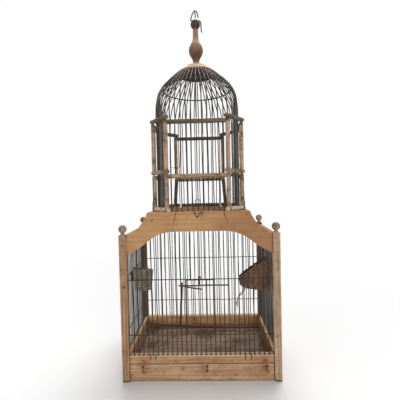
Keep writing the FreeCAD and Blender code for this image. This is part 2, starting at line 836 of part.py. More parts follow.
made("tray_hook_left", [hook(hook_left)])
made("tray_hook_right", [hook(hook_right)])
made("tray_pull", [pull(size("pull_offset_width"))])
pivot_places = (hook_left, hook_right, size("pull_offset_width"))
pivots = [headed_nail(x, pivot_z) for x in pivot_places]
pivot_holes = [
    nail(Vector(x, face_y + size("nail_depth"), pivot_z), size("nail_depth"), size("wire_fit_gap"))
    for x in pivot_places
]
made("pivot_nails", pivots)
made("catch_nails", [nail(tip, size("nail_depth") + nail_out) for tip in catch_rods])
drilled("tray_front", plain_front, pivot_holes)

# Door: wire frame with eyes on the left guide upright, three bars and a finger hook
eye_offset = 2 * wire + size("door_eye_gap")
door_left = -door_half + eye_offset
door_right = door_half - eye_offset
door_low = cross_low + size("door_margin_gap")
door_high = cross_high - size("door_margin_gap")
door_corners = [Vector(x, -panel_y, z) for x, z in (
    (door_left, door_low), (door_right, door_low), (door_right, door_high), (door_left, door_high)
)]
frame = [rod(a, b, wire) for a, b in zip(door_corners, door_corners[1:] + door_corners[:1])]
frame += [Part.makeSphere(wire, corner) for corner in door_corners]
for height in (door_low + size("door_eye_inset_height"), door_high - size("door_eye_inset_height")):
    frame.append(Part.makeTorus(eye_offset, size("door_eye_radius"), Vector(-door_half, -panel_y, height)))
made("door_frame", [frame[0].fuse(frame[1:])])
bar_y = -panel_y - lap
bar_step = (door_right - door_left) / (size("door_bar_count") + 1)
bars = []
for step in range(1, int(size("door_bar_count")) + 1):
    x = door_left + bar_step * step
    bars.append(upright(x, bar_y, door_low, door_high))
made("door_bars", bars)
hook_base = Vector((door_left + door_right) / 2, bar_y - lap, door_high - size("door_hook_length") / 2)
hook_top = hook_base + Vector(0, -size("door_hook_lean_depth"), size("door_hook_length"))
hook_tip = hook_top + Vector(0, -size("door_hook_depth"), size("door_hook_depth") / 2)
made("door_hook", [bent([hook_base, hook_top, hook_tip], wire, lap)])


# Wicker nest pocket on the right and cup on the left, hung on the upper cross wires
def basket(centre, radii, heights, toward_wall, back_x):
    low, back_top, lip_top = heights
    bottom_radius, top_radius = radii
    tall = back_top - low
    wall = size("basket_wall_thickness")
    foot = Vector(centre.x, centre.y, low)
    outer = Part.makeCone(bottom_radius, top_radius, tall, foot)
    hollow = Part.makeCone(bottom_radius - wall, top_radius - wall, tall, foot + Vector(0, 0, wall))
    wall_gap = abs(back_x - centre.x)
    lip_x = centre.x - toward_wall * top_radius
    span = abs(back_x - lip_x)
    deep = 2 * top_radius
    slope = math.atan2(back_top - lip_top, span)
    lid = Part.makeBox(2 * span, 2 * deep, tall, Vector(-span, -deep, 0))
    lid.rotate(Vector(0, 0, 0), Vector(0, 1, 0), -toward_wall * math.degrees(slope))
    tilt = math.atan2(size("rim_tilt_height"), size("nest_top_radius"))
    lid.rotate(Vector(0, 0, 0), Vector(1, 0, 0), -math.degrees(tilt))
    lid.translate(Vector(lip_x, centre.y, lip_top))
    keep_side = Part.makeBox(span, 2 * deep, tall, Vector(min(back_x, lip_x), centre.y - deep, low))
    inner_back = back_x - toward_wall * wall
    keep_hollow = Part.makeBox(
        abs(inner_back - lip_x), 2 * deep, 2 * tall, Vector(min(inner_back, lip_x), centre.y - deep, low)
    )
    hollow = hollow.common(keep_hollow) if wall_gap < top_radius else hollow
    return outer.common(keep_side).cut(hollow).cut(lid).Solids[0]


def hangers(x_side, places, back_x):
    around = wire + touch + size("hanger_radius")
    cross_x = x_side * (panel_x + lap)
    inside_x = cross_x - x_side * around
    outside_x = cross_x + x_side * around
    height = cross_high
    made = []
    for y in places:
        low = Vector(inside_x, y, height - size("hanger_drop_height"))
        inside = Vector(inside_x, y, height)
        over = Part.Arc(inside, Vector(cross_x, y, height + around), Vector(outside_x, y, height))
        edges = [line(low, inside), over.toShape()]
        inside_wall = Vector(back_x - x_side * size("basket_wall_thickness") / 2, y, low.z)
        tang = rod(inside_wall, low, size("hanger_radius"))
        knee = Part.makeSphere(size("hanger_radius"), low)
        made.append(swept(edges, size("hanger_radius")).fuse([tang, knee]))
    return made


wall_x = panel_x - wire - touch
side_pitch = 2 * inner_y / size("side_spaces")


def middle_gap(y):
    return (math.floor(y / side_pitch) + 0.5) * side_pitch


nest_back = wall_x
nest_centre = Vector(wall_x - size("nest_centre_depth"), size("nest_offset_depth"), 0)
nest_low = cross_high - size("nest_drop_height")
nest_heights = (nest_low, nest_low + size("nest_back_height"), nest_low + size("nest_lip_height"))
nest = basket(nest_centre, (size("nest_bottom_radius"), size("nest_top_radius")), nest_heights, 1, nest_back)
cup_centre = Vector(-wall_x + size("cup_top_radius"), size("cup_offset_depth"), 0)
cup_low = cross_high - size("cup_drop_height")
cup_heights = (cup_low, cup_low + size("cup_back_height"), cup_low + size("cup_lip_height"))
cup = basket(cup_centre, (size("cup_bottom_radius"), size("cup_top_radius")), cup_heights, -1, -wall_x)
nest_gaps = [middle_gap(nest_centre.y + step * side_pitch) for step in (-1, 1)]
cup_gaps = [middle_gap(cup_centre.y + step * side_pitch) for step in (-1, 0)]
nest_hooks = hangers(1, nest_gaps, nest_back)
cup_hooks = hangers(-1, cup_gaps, -wall_x)

# A short chain hangs from a wire staple under the nest
link_radius = size("chain_link_radius")
link_wire = size("chain_wire_radius")
link_step = 2 * (link_radius - link_wire) - size("chain_slack_gap")
staple_x = nest_centre.x - size("nest_bottom_radius") + link_radius + size("basket_wall_thickness")
staple_centre = Vector(staple_x, size("nest_offset_depth"), nest_low)
staple = Part.makeTorus(link_radius, link_wire, staple_centre, Vector(0, 1, 0))
links = []
for step in range(1, int(size("chain_links")) + 1):
    facing = Vector(1, 0, 0) if step % 2 else Vector(0, 1, 0)
    place = staple_centre - Vector(0, 0, link_step * step)
    links.append(Part.makeTorus(link_radius, link_wire, place, facing))
made("nest_chain", links)
made("nest_pocket", [nest.cut(nest_hooks + [staple]).Solids[0]])
made("seed_cup", [cup.cut(cup_hooks).Solids[0]])
made("basket_hangers", nest_hooks + cup_hooks + [staple])

# Perches: a low stick between the side boards, a twig standing in it and two arms lashed to the twig
twig_radius = size("twig_radius")
perch_bend = perch_line.Curve
twig_reach = size("twig_offset_width") - perch_bend.Center.x
twig_foot_z = perch_bend.Center.z - math.sqrt(perch_bend.Radius**2 - twig_reach**2)
twig_foot = Vector(size("twig_offset_width"), perch_y, twig_foot_z)
twig_top = twig_foot + Vector(size("twig_lean_width"), 0, size("twig_height"))
twig = rod(twig_foot, twig_top, twig_radius)
low_perch = swept([perch_line], size("perch_radius"))
made("low_perch", [low_perch.cut(twig)])
made("perch_twig", [twig])
arm_radius = size("arm_radius")
arm_gap = twig_radius + arm_radius + touch
fork = twig_foot + (twig_top - twig_foot) * (1 - size("arm_drop_height") / size("twig_height"))
arm_start = fork + Vector(-size("arm_tail_length"), -arm_gap, 0)
long_arm = rod(arm_start, arm_start + Vector(size("arm_length"), 0, 0), arm_radius)
aside = Vector(size("short_arm_width"), -size("short_arm_depth"), 0)
off_twig = Vector(-aside.y, aside.x, 0).normalize() * arm_gap
below = Vector(0, 0, -2 * arm_radius - touch)
short_start = fork + off_twig + below - aside * (size("arm_tail_length") / aside.Length)
short_arm = rod(short_start, short_start + aside, arm_radius)
made("perch_arms", [long_arm, short_arm])

doc.recompute()
failed = [item.Label for item in doc.Objects if {"Invalid", "Error"} & set(item.State)]
failed += [item.Label for item in subparts if item.Shape.isNull() or not item.Shape.isValid()]
if failed:
    raise RuntimeError("failed: " + ", ".join(failed))
os.makedirs("parts", exist_ok=True)
for item in subparts:
    item.Shape.exportStep(f"parts/{item.Label}.step")
print(len(subparts), "sub-parts written")
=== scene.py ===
import bpy
import bmesh
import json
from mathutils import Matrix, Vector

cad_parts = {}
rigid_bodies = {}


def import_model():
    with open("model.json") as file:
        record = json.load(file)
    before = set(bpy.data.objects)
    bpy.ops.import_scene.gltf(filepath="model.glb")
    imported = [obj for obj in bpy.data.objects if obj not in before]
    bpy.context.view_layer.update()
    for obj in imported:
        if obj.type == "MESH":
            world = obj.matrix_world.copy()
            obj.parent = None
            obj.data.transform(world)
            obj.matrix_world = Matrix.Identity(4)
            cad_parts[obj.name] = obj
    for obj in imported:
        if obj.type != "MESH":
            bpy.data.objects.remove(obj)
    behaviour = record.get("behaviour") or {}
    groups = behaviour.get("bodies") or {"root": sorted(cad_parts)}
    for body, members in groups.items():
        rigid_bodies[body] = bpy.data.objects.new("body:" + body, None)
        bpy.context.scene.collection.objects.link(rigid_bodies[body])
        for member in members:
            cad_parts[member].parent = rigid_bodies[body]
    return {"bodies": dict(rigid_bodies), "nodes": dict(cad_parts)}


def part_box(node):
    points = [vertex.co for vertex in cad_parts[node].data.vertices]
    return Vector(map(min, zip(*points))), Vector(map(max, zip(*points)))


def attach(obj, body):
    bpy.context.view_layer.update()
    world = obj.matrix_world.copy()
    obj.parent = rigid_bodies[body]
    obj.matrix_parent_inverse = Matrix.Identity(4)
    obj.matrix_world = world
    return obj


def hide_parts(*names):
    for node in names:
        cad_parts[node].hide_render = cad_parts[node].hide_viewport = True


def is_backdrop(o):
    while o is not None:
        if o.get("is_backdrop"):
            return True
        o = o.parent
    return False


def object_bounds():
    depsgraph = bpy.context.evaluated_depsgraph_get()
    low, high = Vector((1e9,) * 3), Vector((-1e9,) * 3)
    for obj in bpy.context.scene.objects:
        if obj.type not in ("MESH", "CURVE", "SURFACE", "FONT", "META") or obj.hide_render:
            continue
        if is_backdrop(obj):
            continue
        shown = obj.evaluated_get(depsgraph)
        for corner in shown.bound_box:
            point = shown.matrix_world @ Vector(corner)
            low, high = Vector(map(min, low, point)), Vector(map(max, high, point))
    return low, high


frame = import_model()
import inspect
import json
import math
import random
import numpy as np
from mathutils import Matrix, Vector

nodes = frame["nodes"]
keepers = set(nodes.values()) | set(frame["bodies"].values())
for leftover in list(bpy.data.objects):  # the start-up cube and lamp
    if leftover not in keepers:
        bpy.data.objects.remove(leftover)
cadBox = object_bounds()
print("frame in place:", len(nodes), "nodes")


def tint(code):  # a colour as the picker's hex field shows it, made linear
    def channel(value):
        value /= 255.0
        return value / 12.92 if value <= 0.04045 else ((value + 0.055) / 1.055) ** 2.4
    return tuple(channel(part) for part in bytes.fromhex(code)) + (1.0,)


def feed(socket, value):  # a link from a field, or a plain value
    if isinstance(value, Field):
        socket.id_data.links.new(value.socket, socket)
    else:
        socket.default_value = value


def put(tree, kind, inputs=None, **settings):  # one node with its settings, values and links
    made = tree.nodes.new(kind)
    for key, value in settings.items():
        setattr(made, key, value)
    for key, value in (inputs or {}).items():
        feed(made.inputs[key], value)
    return made


def got(tree, kind, inputs=None, output=0, **settings):  # the same, for one of the node's outputs
    return Field(put(tree, kind, inputs, **settings).outputs[output])


class Field:  # a node's output that takes plain arithmetic
    def __init__(self, socket):
        self.socket = socket
        self.tree = socket.id_data

    def math(self, operation, other=0.0, clamp=False):
        return got(self.tree, "ShaderNodeMath", {0: self, 1: other}, operation=operation, use_clamp=clamp)

    def __add__(self, other):
        return self.math("ADD", other)

    def __sub__(self, other):
        return self.math("SUBTRACT", other)

    def __rsub__(self, number):
        return got(self.tree, "ShaderNodeMath", {0: number, 1: self}, operation="SUBTRACT")

    def __mul__(self, other):
        return self.math("MULTIPLY", other)

    def __truediv__(self, other):
        return self.math("DIVIDE", other)

    def least(self, other):
        return self.math("MINIMUM", other)

    def most(self, other):
        return self.math("MAXIMUM", other)

    def vector(self, operation, other, output=0):
        return got(self.tree, "ShaderNodeVectorMath", {0: self, 1: other}, output, operation=operation)

    def scaled(self, amount):
        return got(self.tree, "ShaderNodeVectorMath", {0: self, "Scale": amount}, operation="SCALE")

    def split(self):
        return [Field(part) for part in put(self.tree, "ShaderNodeSeparateXYZ", {0: self}).outputs]

    def noise(self, scale, detail=3.0, roughness=0.55):
        inputs = {"Vector": self, "Scale": scale, "Detail": detail, "Roughness": roughness}
        return got(self.tree, "ShaderNodeTexNoise", inputs)

    def ranged(self, low, high, to=(0.0, 1.0), way="SMOOTHSTEP"):
        inputs = {"Value": self, "From Min": low, "From Max": high, "To Min": to[0], "To Max": to[1]}
        return got(self.tree, "ShaderNodeMapRange", inputs, interpolation_type=way)

    def faded(self, low, high):  # one at the low end, nothing from the high end on
        return 1.0 - self.ranged(low, high)


def mixed(factor, first, second, mode="MIX"):
    tree = next(value.tree for value in (factor, first, second) if isinstance(value, Field))
    return got(
        tree, "ShaderNodeMix", {0: factor, 6: first, 7: second}, 2, data_type="RGBA", blend_type=mode)


def socketKind(value):
    if isinstance(value, str):  # a kind that has no first value
        return value
    if isinstance(value, tuple):
        return "Vector" if len(value) == 3 else "Color"
    return "Int" if isinstance(value, int) else "Float"


def nodeGroup(name, recipe, outputs, kind="ShaderNodeTree"):  # its inputs are the recipe's arguments
    group = bpy.data.node_groups.new(name, kind)
    inputs = {label: part.default for label, part in inspect.signature(recipe).parameters.items()}
    for label, value in inputs.items():
        made = group.interface.new_socket(
            label, in_out="INPUT", socket_type="NodeSocket" + socketKind(value))
        if not isinstance(value, str):
            made.default_value = value
    for label in outputs:
        outKind = {"colour": "Color", "geometry": "Geometry"}.get(label, "Float")
        group.interface.new_socket(label, in_out="OUTPUT", socket_type="NodeSocket" + outKind)
    given = group.nodes.new("NodeGroupInput").outputs
    last = group.nodes.new("NodeGroupOutput").inputs
    results = recipe(**{label: Field(given[label]) for label in inputs})
    for label, field in zip(outputs, results):
        feed(last[label], field)
    return group


origin, white, black = (0.0, 0.0, 0.0), (1.0, 1.0, 1.0, 1.0), (0.0, 0.0, 0.0, 1.0)
grainLook = dict(
    stretch=(1.0, 1.0, 0.06), hairStretch=(1.0, 1.0, 0.025), driftScale=22.0, streakScale=150.0,
    hairScale=900.0, slant=0.6, wander=0.05, turn=6.283, sharp=2.2, ringShare=0.16, streakShare=0.62,
    hairShare=0.22, palest=0.33, darkest=0.67)


# old softwood, the grain running along the vector's Z
def grainRecipe(vector=origin, pale=white, dark=black, ringGap=0.007):
    long = vector.vector("MULTIPLY", grainLook["stretch"])
    streak = long.noise(grainLook["streakScale"], 5.0, 0.62)
    hair = vector.vector("MULTIPLY", grainLook["hairStretch"]).noise(grainLook["hairScale"], 2.0)
    x, y, z = long.split()
    across = y * grainLook["slant"] + x + long.noise(grainLook["driftScale"]) * grainLook["wander"]
    wave = (across / ringGap * grainLook["turn"]).math("SINE")
    ring = (wave * 0.5 + 0.5).math("POWER", grainLook["sharp"])
    blend = ring * grainLook["ringShare"] + streak * grainLook["streakShare"]
    blend = blend + hair * grainLook["hairShare"]
    mask = blend.ranged(grainLook["palest"], grainLook["darkest"])
    return mixed(mask, pale, dark), hair * 0.5 + streak * 0.5, mask


ageLook = dict(
    chipScale=260.0, chipLow=0.18, chipReach=2.6, thinnest=0.00012, grimeScale=46.0, cornerReach=0.009,
    cornerScale=30.0, cornerSoot=0.35, dentScale=95.0, dentSpread=33.0, dentDark=0.75, edgeShare=0.75,
    rough=0.56, darkRough=0.18, edgeRough=0.1, patches=(0.46, 0.66), stains=(0.52, 0.72),
    corners=(0.42, 0.62), dents=(0.04, 0.11), dentAreas=(0.5, 0.58))


# patches, grime, dents and rubbed edges of a squared board
def ageRecipe(
        vector=origin, base=white, low=origin, high=(1.0, 1.0, 1.0), patch=white, patchAmount=0.4,
        patchScale=17.0, grime=black, grimeAmount=0.4, rubbed=white, edgeWidth=0.002):
    fromLow = vector.vector("SUBTRACT", low).split()
    fromHigh = high.vector("SUBTRACT", vector).split()
    near = [fromLow[axis].least(fromHigh[axis]) for axis in range(3)]
    toEdge = near[0].least(near[1]).most(near[0].most(near[1]).least(near[2]))
    chips = vector.noise(ageLook["chipScale"], 4.0, 0.7) - ageLook["chipLow"]
    worn = chips * (edgeWidth * ageLook["chipReach"])
    edge = toEdge.faded(0.0, worn.most(ageLook["thinnest"]))
    patches = vector.noise(patchScale, 4.0, 0.6).ranged(*ageLook["patches"])
    stains = vector.noise(ageLook["grimeScale"], 7.0, 0.66).ranged(*ageLook["stains"])
    soot = toEdge.faded(0.0, ageLook["cornerReach"])
    soot = soot * vector.noise(ageLook["cornerScale"], 5.0).ranged(*ageLook["corners"])
    holes = {"Vector": vector, "Scale": ageLook["dentScale"], "Randomness": 1.0}
    dents = got(vector.tree, "ShaderNodeTexVoronoi", holes, "Distance").faded(*ageLook["dents"])
    dents = dents * vector.noise(ageLook["dentSpread"]).ranged(*ageLook["dentAreas"])
    dark = (stains * grimeAmount).most(soot * ageLook["cornerSoot"]).most(dents * ageLook["dentDark"])
    colour = mixed(patches * patchAmount, base, patch)
    colour = mixed(edge * ageLook["edgeShare"], mixed(dark, colour, grime), rubbed)
    rough = dark * ageLook["darkRough"] + (edge * ageLook["edgeRough"] + ageLook["rough"])
    return colour, rough, dents


# dark stains round a row of wire holes on a board's top
def seatRecipe(along=0.0, across=0.0, pitch=0.0128, radius=0.003, soft=0.45):
    step = along.math("PINGPONG", pitch * 0.5)
    reach = (step * step + across * across).math("SQRT")
    return [reach.faded(radius * soft, radius)]


splitLook = dict(wanderScale=120.0, wander=0.006, taper=1.25, soft=0.4)


# an open split between two points of an upright face
def splitRecipe(vector=origin, start=origin, end=(0.0, 0.0, 1.0), width=0.0007):
    wander = vector.noise(splitLook["wanderScale"], 4.0, 0.7) - 0.5
    shift = got(vector.tree, "ShaderNodeCombineXYZ", {0: wander * splitLook["wander"]})
    here = vector.vector("SUBTRACT", start).vector("ADD", shift).vector("MULTIPLY", (1.0, 0.0, 1.0))
    run = end.vector("SUBTRACT", start)
    square = run.vector("DOT_PRODUCT", run, "Value")
    part = here.vector("DOT_PRODUCT", run, "Value").math("DIVIDE", square, True)
    gap = here.vector("DISTANCE", run.scaled(part), "Value")
    thin = width * (splitLook["taper"] - part)
    return [gap.faded(thin * splitLook["soft"], thin)]


rustLook = dict(
    broadScale=38.0, fineScale=620.0, broadShare=0.65, fineShare=0.35, bare=(0.075, 0.064, 0.054, 1.0),
    pitsFrom=0.62, fromGain=-0.3, pitsTo=0.7, toGain=-0.2, worn=(0.35, 0.65), rough=0.5, rustRough=0.3,
    metal=0.65, rustMetal=-0.55)


# drawn iron, dull and pitted
def rustRecipe(vector=origin, iron=black, rust=black, rustAmount=0.5):
    fine = vector.noise(rustLook["fineScale"], 4.0, 0.7)
    broad = vector.noise(rustLook["broadScale"], 5.0, 0.65)
    both = broad * rustLook["broadShare"] + fine * rustLook["fineShare"]
    first = rustAmount * rustLook["fromGain"] + rustLook["pitsFrom"]
    pits = both.ranged(first, rustAmount * rustLook["toGain"] + rustLook["pitsTo"])
    worn = mixed(fine.ranged(*rustLook["worn"]), iron, mixed(0.5, iron, rustLook["bare"]))
    rough = pits * rustLook["rustRough"] + rustLook["rough"]
    return mixed(pits, worn, rust), rough, pits * rustLook["rustMetal"] + rustLook["metal"], fine


knotLook = dict(wanderScale=240.0, wander=0.9, least=0.55, heart=(0.35, 0.9), halo=(0.8, 2.4))


# a dark heart and its reddish halo
def knotRecipe(vector=origin, centre=origin, radius=0.004):
    wander = vector.noise(knotLook["wanderScale"]) * knotLook["wander"] + knotLook["least"]
    reach = vector.vector("DISTANCE", centre, "Value") / radius * wander
    return reach.faded(*knotLook["heart"]), reach.faded(*knotLook["halo"])


pineGrain = nodeGroup("pineGrain", grainRecipe, ("colour", "height", "mask"))
knotSpot = nodeGroup("knotSpot", knotRecipe, ("heart", "halo"))
boardAge = nodeGroup("boardAge", ageRecipe, ("colour", "rough", "dents"))
seatStains = nodeGroup("seatStains", seatRecipe, ("mask",))
splitLine = nodeGroup("splitLine", splitRecipe, ("mask",))
rustSkin = nodeGroup("rustSkin", rustRecipe, ("colour", "rough", "metal", "height"))


def emptied(block):  # the node tree of a material or world, without its first nodes
    block.use_nodes = True
    block.node_tree.nodes.clear()
    return block.node_tree


def blankFinish(label):
    material = bpy.data.materials.new(label)
    tree = emptied(material)
    shader = tree.nodes.new("ShaderNodeBsdfPrincipled")
    put(tree, "ShaderNodeOutputMaterial", {"Surface": Field(shader.outputs[0])})
    return material, shader, got(tree, "ShaderNodeTexCoord", output="Object")


def coat(shader, colour, rough, gloss, height, bump):  # the last links of every finish
    inputs = {"Height": height, "Strength": bump[0], "Distance": bump[1]}
    normal = got(shader.id_data, "ShaderNodeBump", inputs)
    values = {"Base Color": colour, "Roughness": rough, "Specular IOR Level": gloss, "Normal": normal}
    for label, value in values.items():
        feed(shader.inputs[label], value)


def grouped(tree, group, **inputs):
    made = put(tree, "ShaderNodeGroup", inputs, node_tree=group)
    return {socket.name: Field(socket) for socket in made.outputs}


def turnedTo(coords, axis, shift):  # lays the grain along the piece's own run
    parts = coords.split()
    order = {"x": (1, 2, 0), "y": (0, 2, 1), "z": (0, 1, 2)}[axis]
    swung = got(coords.tree, "ShaderNodeCombineXYZ", {slot: parts[order[slot]] for slot in range(3)})
    return got(coords.tree, "ShaderNodeMapping", {"Vector": swung, "Location": shift})


grainColumns = ("pale", "dark", "ringGap")
ageColumns = ("patch", "patchAmount", "patchScale", "grime", "grimeAmount", "rubbed", "edgeWidth")
woodTones = {  # one row of values for each wood, in the order of the columns above
    "header": ("b38c61", "a37b53", 0.009, "986947", 0.4, 17.0, "543a26", 0.22, "d6b68e", 0.002),
    "shoulder": ("e2c8a4", "c0a17b", 0.008, "a27e5a", 0.5, 17.0, "543e2c", 0.3, "f0dec4", 0.002),
    "post": ("ac8a68", "846346", 0.006, "8e6042", 0.55, 17.0, "3a2a1e", 0.45, "ccb08e", 0.0022),
    "palePost": ("b89c7e", "8e745a", 0.006, "92684c", 0.55, 17.0, "3a2c21", 0.45, "d0b89a", 0.0022),
    "backPost": ("ac8a68", "846346", 0.006, "8e6042", 0.55, 17.0, "3a2a1e", 0.45, "bea282", 0.0018),
    "sill": ("b8936f", "946e4f", 0.006, "925e40", 0.5, 17.0, "36271d", 0.45, "d6ba9a", 0.0026),
    "tray": ("c4a07b", "a07a5a", 0.006, "966345", 0.5, 17.0, "36271d", 0.45, "e4caaa", 0.0026),
    "side": ("c4996d", "9c7550", 0.007, "7a5437", 0.5, 17.0, "38291e", 0.5, "d8b892", 0.0026),
    "backBoard": ("deb082", "b68c64", 0.007, "845c3e", 0.5, 17.0, "483628", 0.4, "d8b892", 0.0026),
    "floor": ("9c826b", "745e4b", 0.012, "42342a", 0.75, 17.0, "28201a", 0.6, "5c4c3d", 0.0012),
    "stick": ("aa9377", "6e5a43", 0.004, "463526", 0.75, 55.0, "2c2219", 0.6, "bea68a", 0.0),
    "postStick": ("bea588", "806a52", 0.004, "4e3c2c", 0.7, 55.0, "30261c", 0.6, "c4ac90", 0.0),
    "darkStick": ("72634f", "483d2f", 0.004, "3c3125", 0.7, 55.0, "30271e", 0.5, "aa967c", 0.0),
    "lowStick": ("b29c88", "7c6856", 0.004, "4a3a2c", 0.7, 55.0, "30261e", 0.5, "8c765e", 0.0),
    "peeled": ("e6d4ba", "b69a7a", 0.004, "4e3929", 0.85, 48.0, "32261c", 0.6, "e6d4ba", 0.0),
    "perch": ("78583e", "483223", 0.004, "36251a", 0.5, 17.0, "241a13", 0.5, "82644a", 0.0),
    "twig": ("524031", "32261c", 0.004, "2a1f17", 0.5, 17.0, "221912", 0.5, "78624c", 0.0),
    "twigArm": ("7a6a58", "504234", 0.004, "403328", 0.5, 17.0, "2e241c", 0.5, "96826a", 0.0),
    "ball": ("a28e74", "705c46", 0.004, "584533", 0.6, 17.0, "32261c", 0.5, "bea68a", 0.0),
}
olderEnds = {  # tone: where the piece grows darker towards one end; on the back posts this is painted shade on the faces turned into the cage
    "header": dict(axis=0, start=-0.02, end=0.15, colour=tint("865c3e"), amount=0.6),
    "backPost": dict(axis=1, start=0.1325, end=0.1175, colour=tint("423529"), amount=0.8),
    "lowStick": dict(axis=1, start=-0.07, end=-0.03, colour=tint("3a2f24"), amount=0.88),
    "peeled": dict(axis=1, start=-0.06, end=0.08, colour=tint("4c3727"), amount=0.85),
}
# the seam colour is painted shade in the gaps between boards, and dirt at the foot of the posts
marks = dict(
    seam=tint("2c1f16"), seamAmount=0.85, heart=tint("40281a"), haloAmount=0.45, split=tint("2e2016"),
    splitAmount=0.9, splitDepth=3.0, dentDepth=1.5, topFrom=0.0035, topTo=0.0012, rubbedTop=0.7,
    seatAmount=0.95, seamSoft=0.4, gloss=0.2, bump=(0.5, 0.0008))
grainSteps = ((0.31, 7), (0.17, 11), (0.23, 5))  # so that no two pieces share a stretch of grain
farBox = ((-9.0, -9.0, -9.0), (9.0, 9.0, 9.0))  # no edge near enough to be rubbed


def woodFinish(label, axis, tone, seed, box=farBox, seats=(), cracks=(), knots=(), seams=()):
    cells = zip(grainColumns + ageColumns, woodTones[tone])
    look = {key: tint(cell) if isinstance(cell, str) else cell for key, cell in cells}
    material, shader, coords = blankFinish(label)
    tree = material.node_tree
    along = turnedTo(coords, axis, tuple(step * (seed % count) for step, count in grainSteps))
    grain = grouped(tree, pineGrain, vector=along, **{key: look[key] for key in grainColumns})
    aged = grouped(
        tree, boardAge, vector=coords, base=grain["colour"], low=box[0], high=box[1],
        **{key: look[key] for key in ageColumns})
    colour = aged["colour"]
    height = aged["dents"] * -marks["dentDepth"] + grain["height"]
    where = coords.split()
    # one end painted darker; on the back posts this is painted shade
    if tone in olderEnds:
        drift = olderEnds[tone]
        older = where[drift["axis"]].ranged(drift["start"], drift["end"]) * drift["amount"]
        colour = mixed(older, colour, drift["colour"])
    if seats:  # stains round the wire holes, on the top face only
        across = where[seats["across"]] - seats["at"]
        stains = grouped(
            tree, seatStains, along=where[seats["along"]], across=across, pitch=seats["pitch"],
            radius=seats["radius"])["mask"]
        top = where[2].ranged(seats["top"] - marks["topFrom"], seats["top"] - marks["topTo"])
        # the top band is painted paler: wear, and a painted highlight where light falls from above
        colour = mixed(top * marks["rubbedTop"], colour, look["rubbed"])
        colour = mixed(stains * (top * marks["seatAmount"]), colour, look["grime"])
    for side, joint, reach in seams:  # painted shade in the gap beside another board, dirt at the foot of a post
        seam = (where[side] - joint).math("ABSOLUTE").faded(reach * marks["seamSoft"], reach)
        colour = mixed(seam * marks["seamAmount"], colour, marks["seam"])
    for centre, radius, darkness in knots:
        knot = grouped(tree, knotSpot, vector=coords, centre=centre, radius=radius)
        colour = mixed(knot["halo"] * marks["haloAmount"], colour, look["patch"])
        colour = mixed(knot["heart"] * darkness, colour, marks["heart"])
        height = knot["heart"] * -darkness + height
    for start, end, width in cracks:
        split = grouped(tree, splitLine, vector=coords, start=start, end=end, width=width)["mask"]
        colour = mixed(split * marks["splitAmount"], colour, marks["split"])
        height = split * -marks["splitDepth"] + height
    coat(shader, colour, aged["rough"], marks["gloss"], height, marks["bump"])
    return material


def dress(node, material):  # a CAD node keeps its shape and takes a better finish
    for slot in nodes[node].material_slots:
        slot.material = material


seatRow = dict(along=0, across=1, at=-0.1245, pitch=0.0128, radius=0.0052, top=0.069)
sideRow = dict(seatRow, along=1, across=0, at=-0.199, pitch=0.23 / 18, radius=0.0035)
seatRows = {
    "front_sill": seatRow, "back_board": dict(seatRow, at=0.122, radius=0.0035), "left_side_board": sideRow,
    "right_side_board": dict(sideRow, at=0.199)}
splits = {  # node: start, end and width of each split
    "front_header": [((-0.0586, 0, 0.449), (-0.0695, 0, 0.396), 0.0013),
                     ((0.0655, 0, 0.45), (0.0775, 0, 0.412), 0.0015)],
}
knots = {  # node: centre, radius and darkness of each knot, the palest only a reddish bloom
    "corner_post_front_left": [((-0.2002, -0.133, 0.2551), 0.0048, 0.9),
                               ((-0.207, -0.133, 0.301), 0.0025, 0.7)],
    "corner_post_front_right": [((0.202, -0.133, 0.295), 0.003, 0.7), ((0.199, -0.133, 0.12), 0.004, 0.6)],
    "front_header": [((-0.122, -0.129, 0.4268), 0.0035, 0.7), ((0.1254, -0.129, 0.439), 0.003, 0.7),
                     ((0.058, -0.129, 0.408), 0.012, 0.1), ((0.088, -0.129, 0.409), 0.013, 0.12)],
    "back_board": [((-0.0301, 0.115, 0.0556), 0.0035, 0.85)],
    "tray_front": [((-0.05, -0.129, 0.034), 0.004, 0.6), ((0.09, -0.129, 0.016), 0.003, 0.6),
                   ((-0.15, -0.129, 0.036), 0.011, 0.2), ((0.166, -0.129, 0.036), 0.012, 0.42),
                   ((0.003, -0.129, 0.037), 0.008, 0.3)],
    "front_sill": [((-0.151, -0.129, 0.052), 0.01, 0.25), ((0.166, -0.129, 0.053), 0.01, 0.4)],
}
seams = {  # node: axis, place and reach of each dark seam, painted shade in the gaps and dirt at the post feet
    "front_sill": [(2, 0.046, 0.0026), (0, -0.192, 0.002), (0, 0.192, 0.002)],
    "tray_front": [(0, -0.1914, 0.0024), (0, 0.1914, 0.0024), (2, 0.001, 0.0016)],
    "front_header": [(0, -0.192, 0.0014), (0, 0.192, 0.0014)],
    "left_shoulder": [(0, -0.192, 0.004)], "right_shoulder": [(0, 0.192, 0.004)],
    "corner_post_front_left": [(2, 0.0, 0.005)], "corner_post_front_right": [(2, 0.0, 0.005)],
}
boards = {  # node: grain and tone
    "front_header": ("x", "header"), "back_header": ("x", "header"),
    "left_top_rail": ("y", "header"), "right_top_rail": ("y", "header"),
    "left_shoulder": ("y", "shoulder"), "right_shoulder": ("y", "shoulder"),
    "left_turret_sill": ("y", "header"), "right_turret_sill": ("y", "header"),
    "corner_post_front_left": ("z", "post"), "corner_post_front_right": ("z", "palePost"),
    "corner_post_back_left": ("z", "backPost"), "corner_post_back_right": ("z", "backPost"),
    "front_sill": ("x", "sill"), "back_board": ("x", "backBoard"),
    "left_side_board": ("y", "side"), "right_side_board": ("y", "side"),
    "tray_front": ("x", "tray"), "tray_runners": ("x", "side"), "tray_floor": ("x", "floor"),
    "tray_left_wall": ("y", "floor"), "tray_right_wall": ("y", "floor"), "tray_back_wall": ("x", "floor"),
    "ball_finials": ("z", "ball"),
}
boardSeed = 3
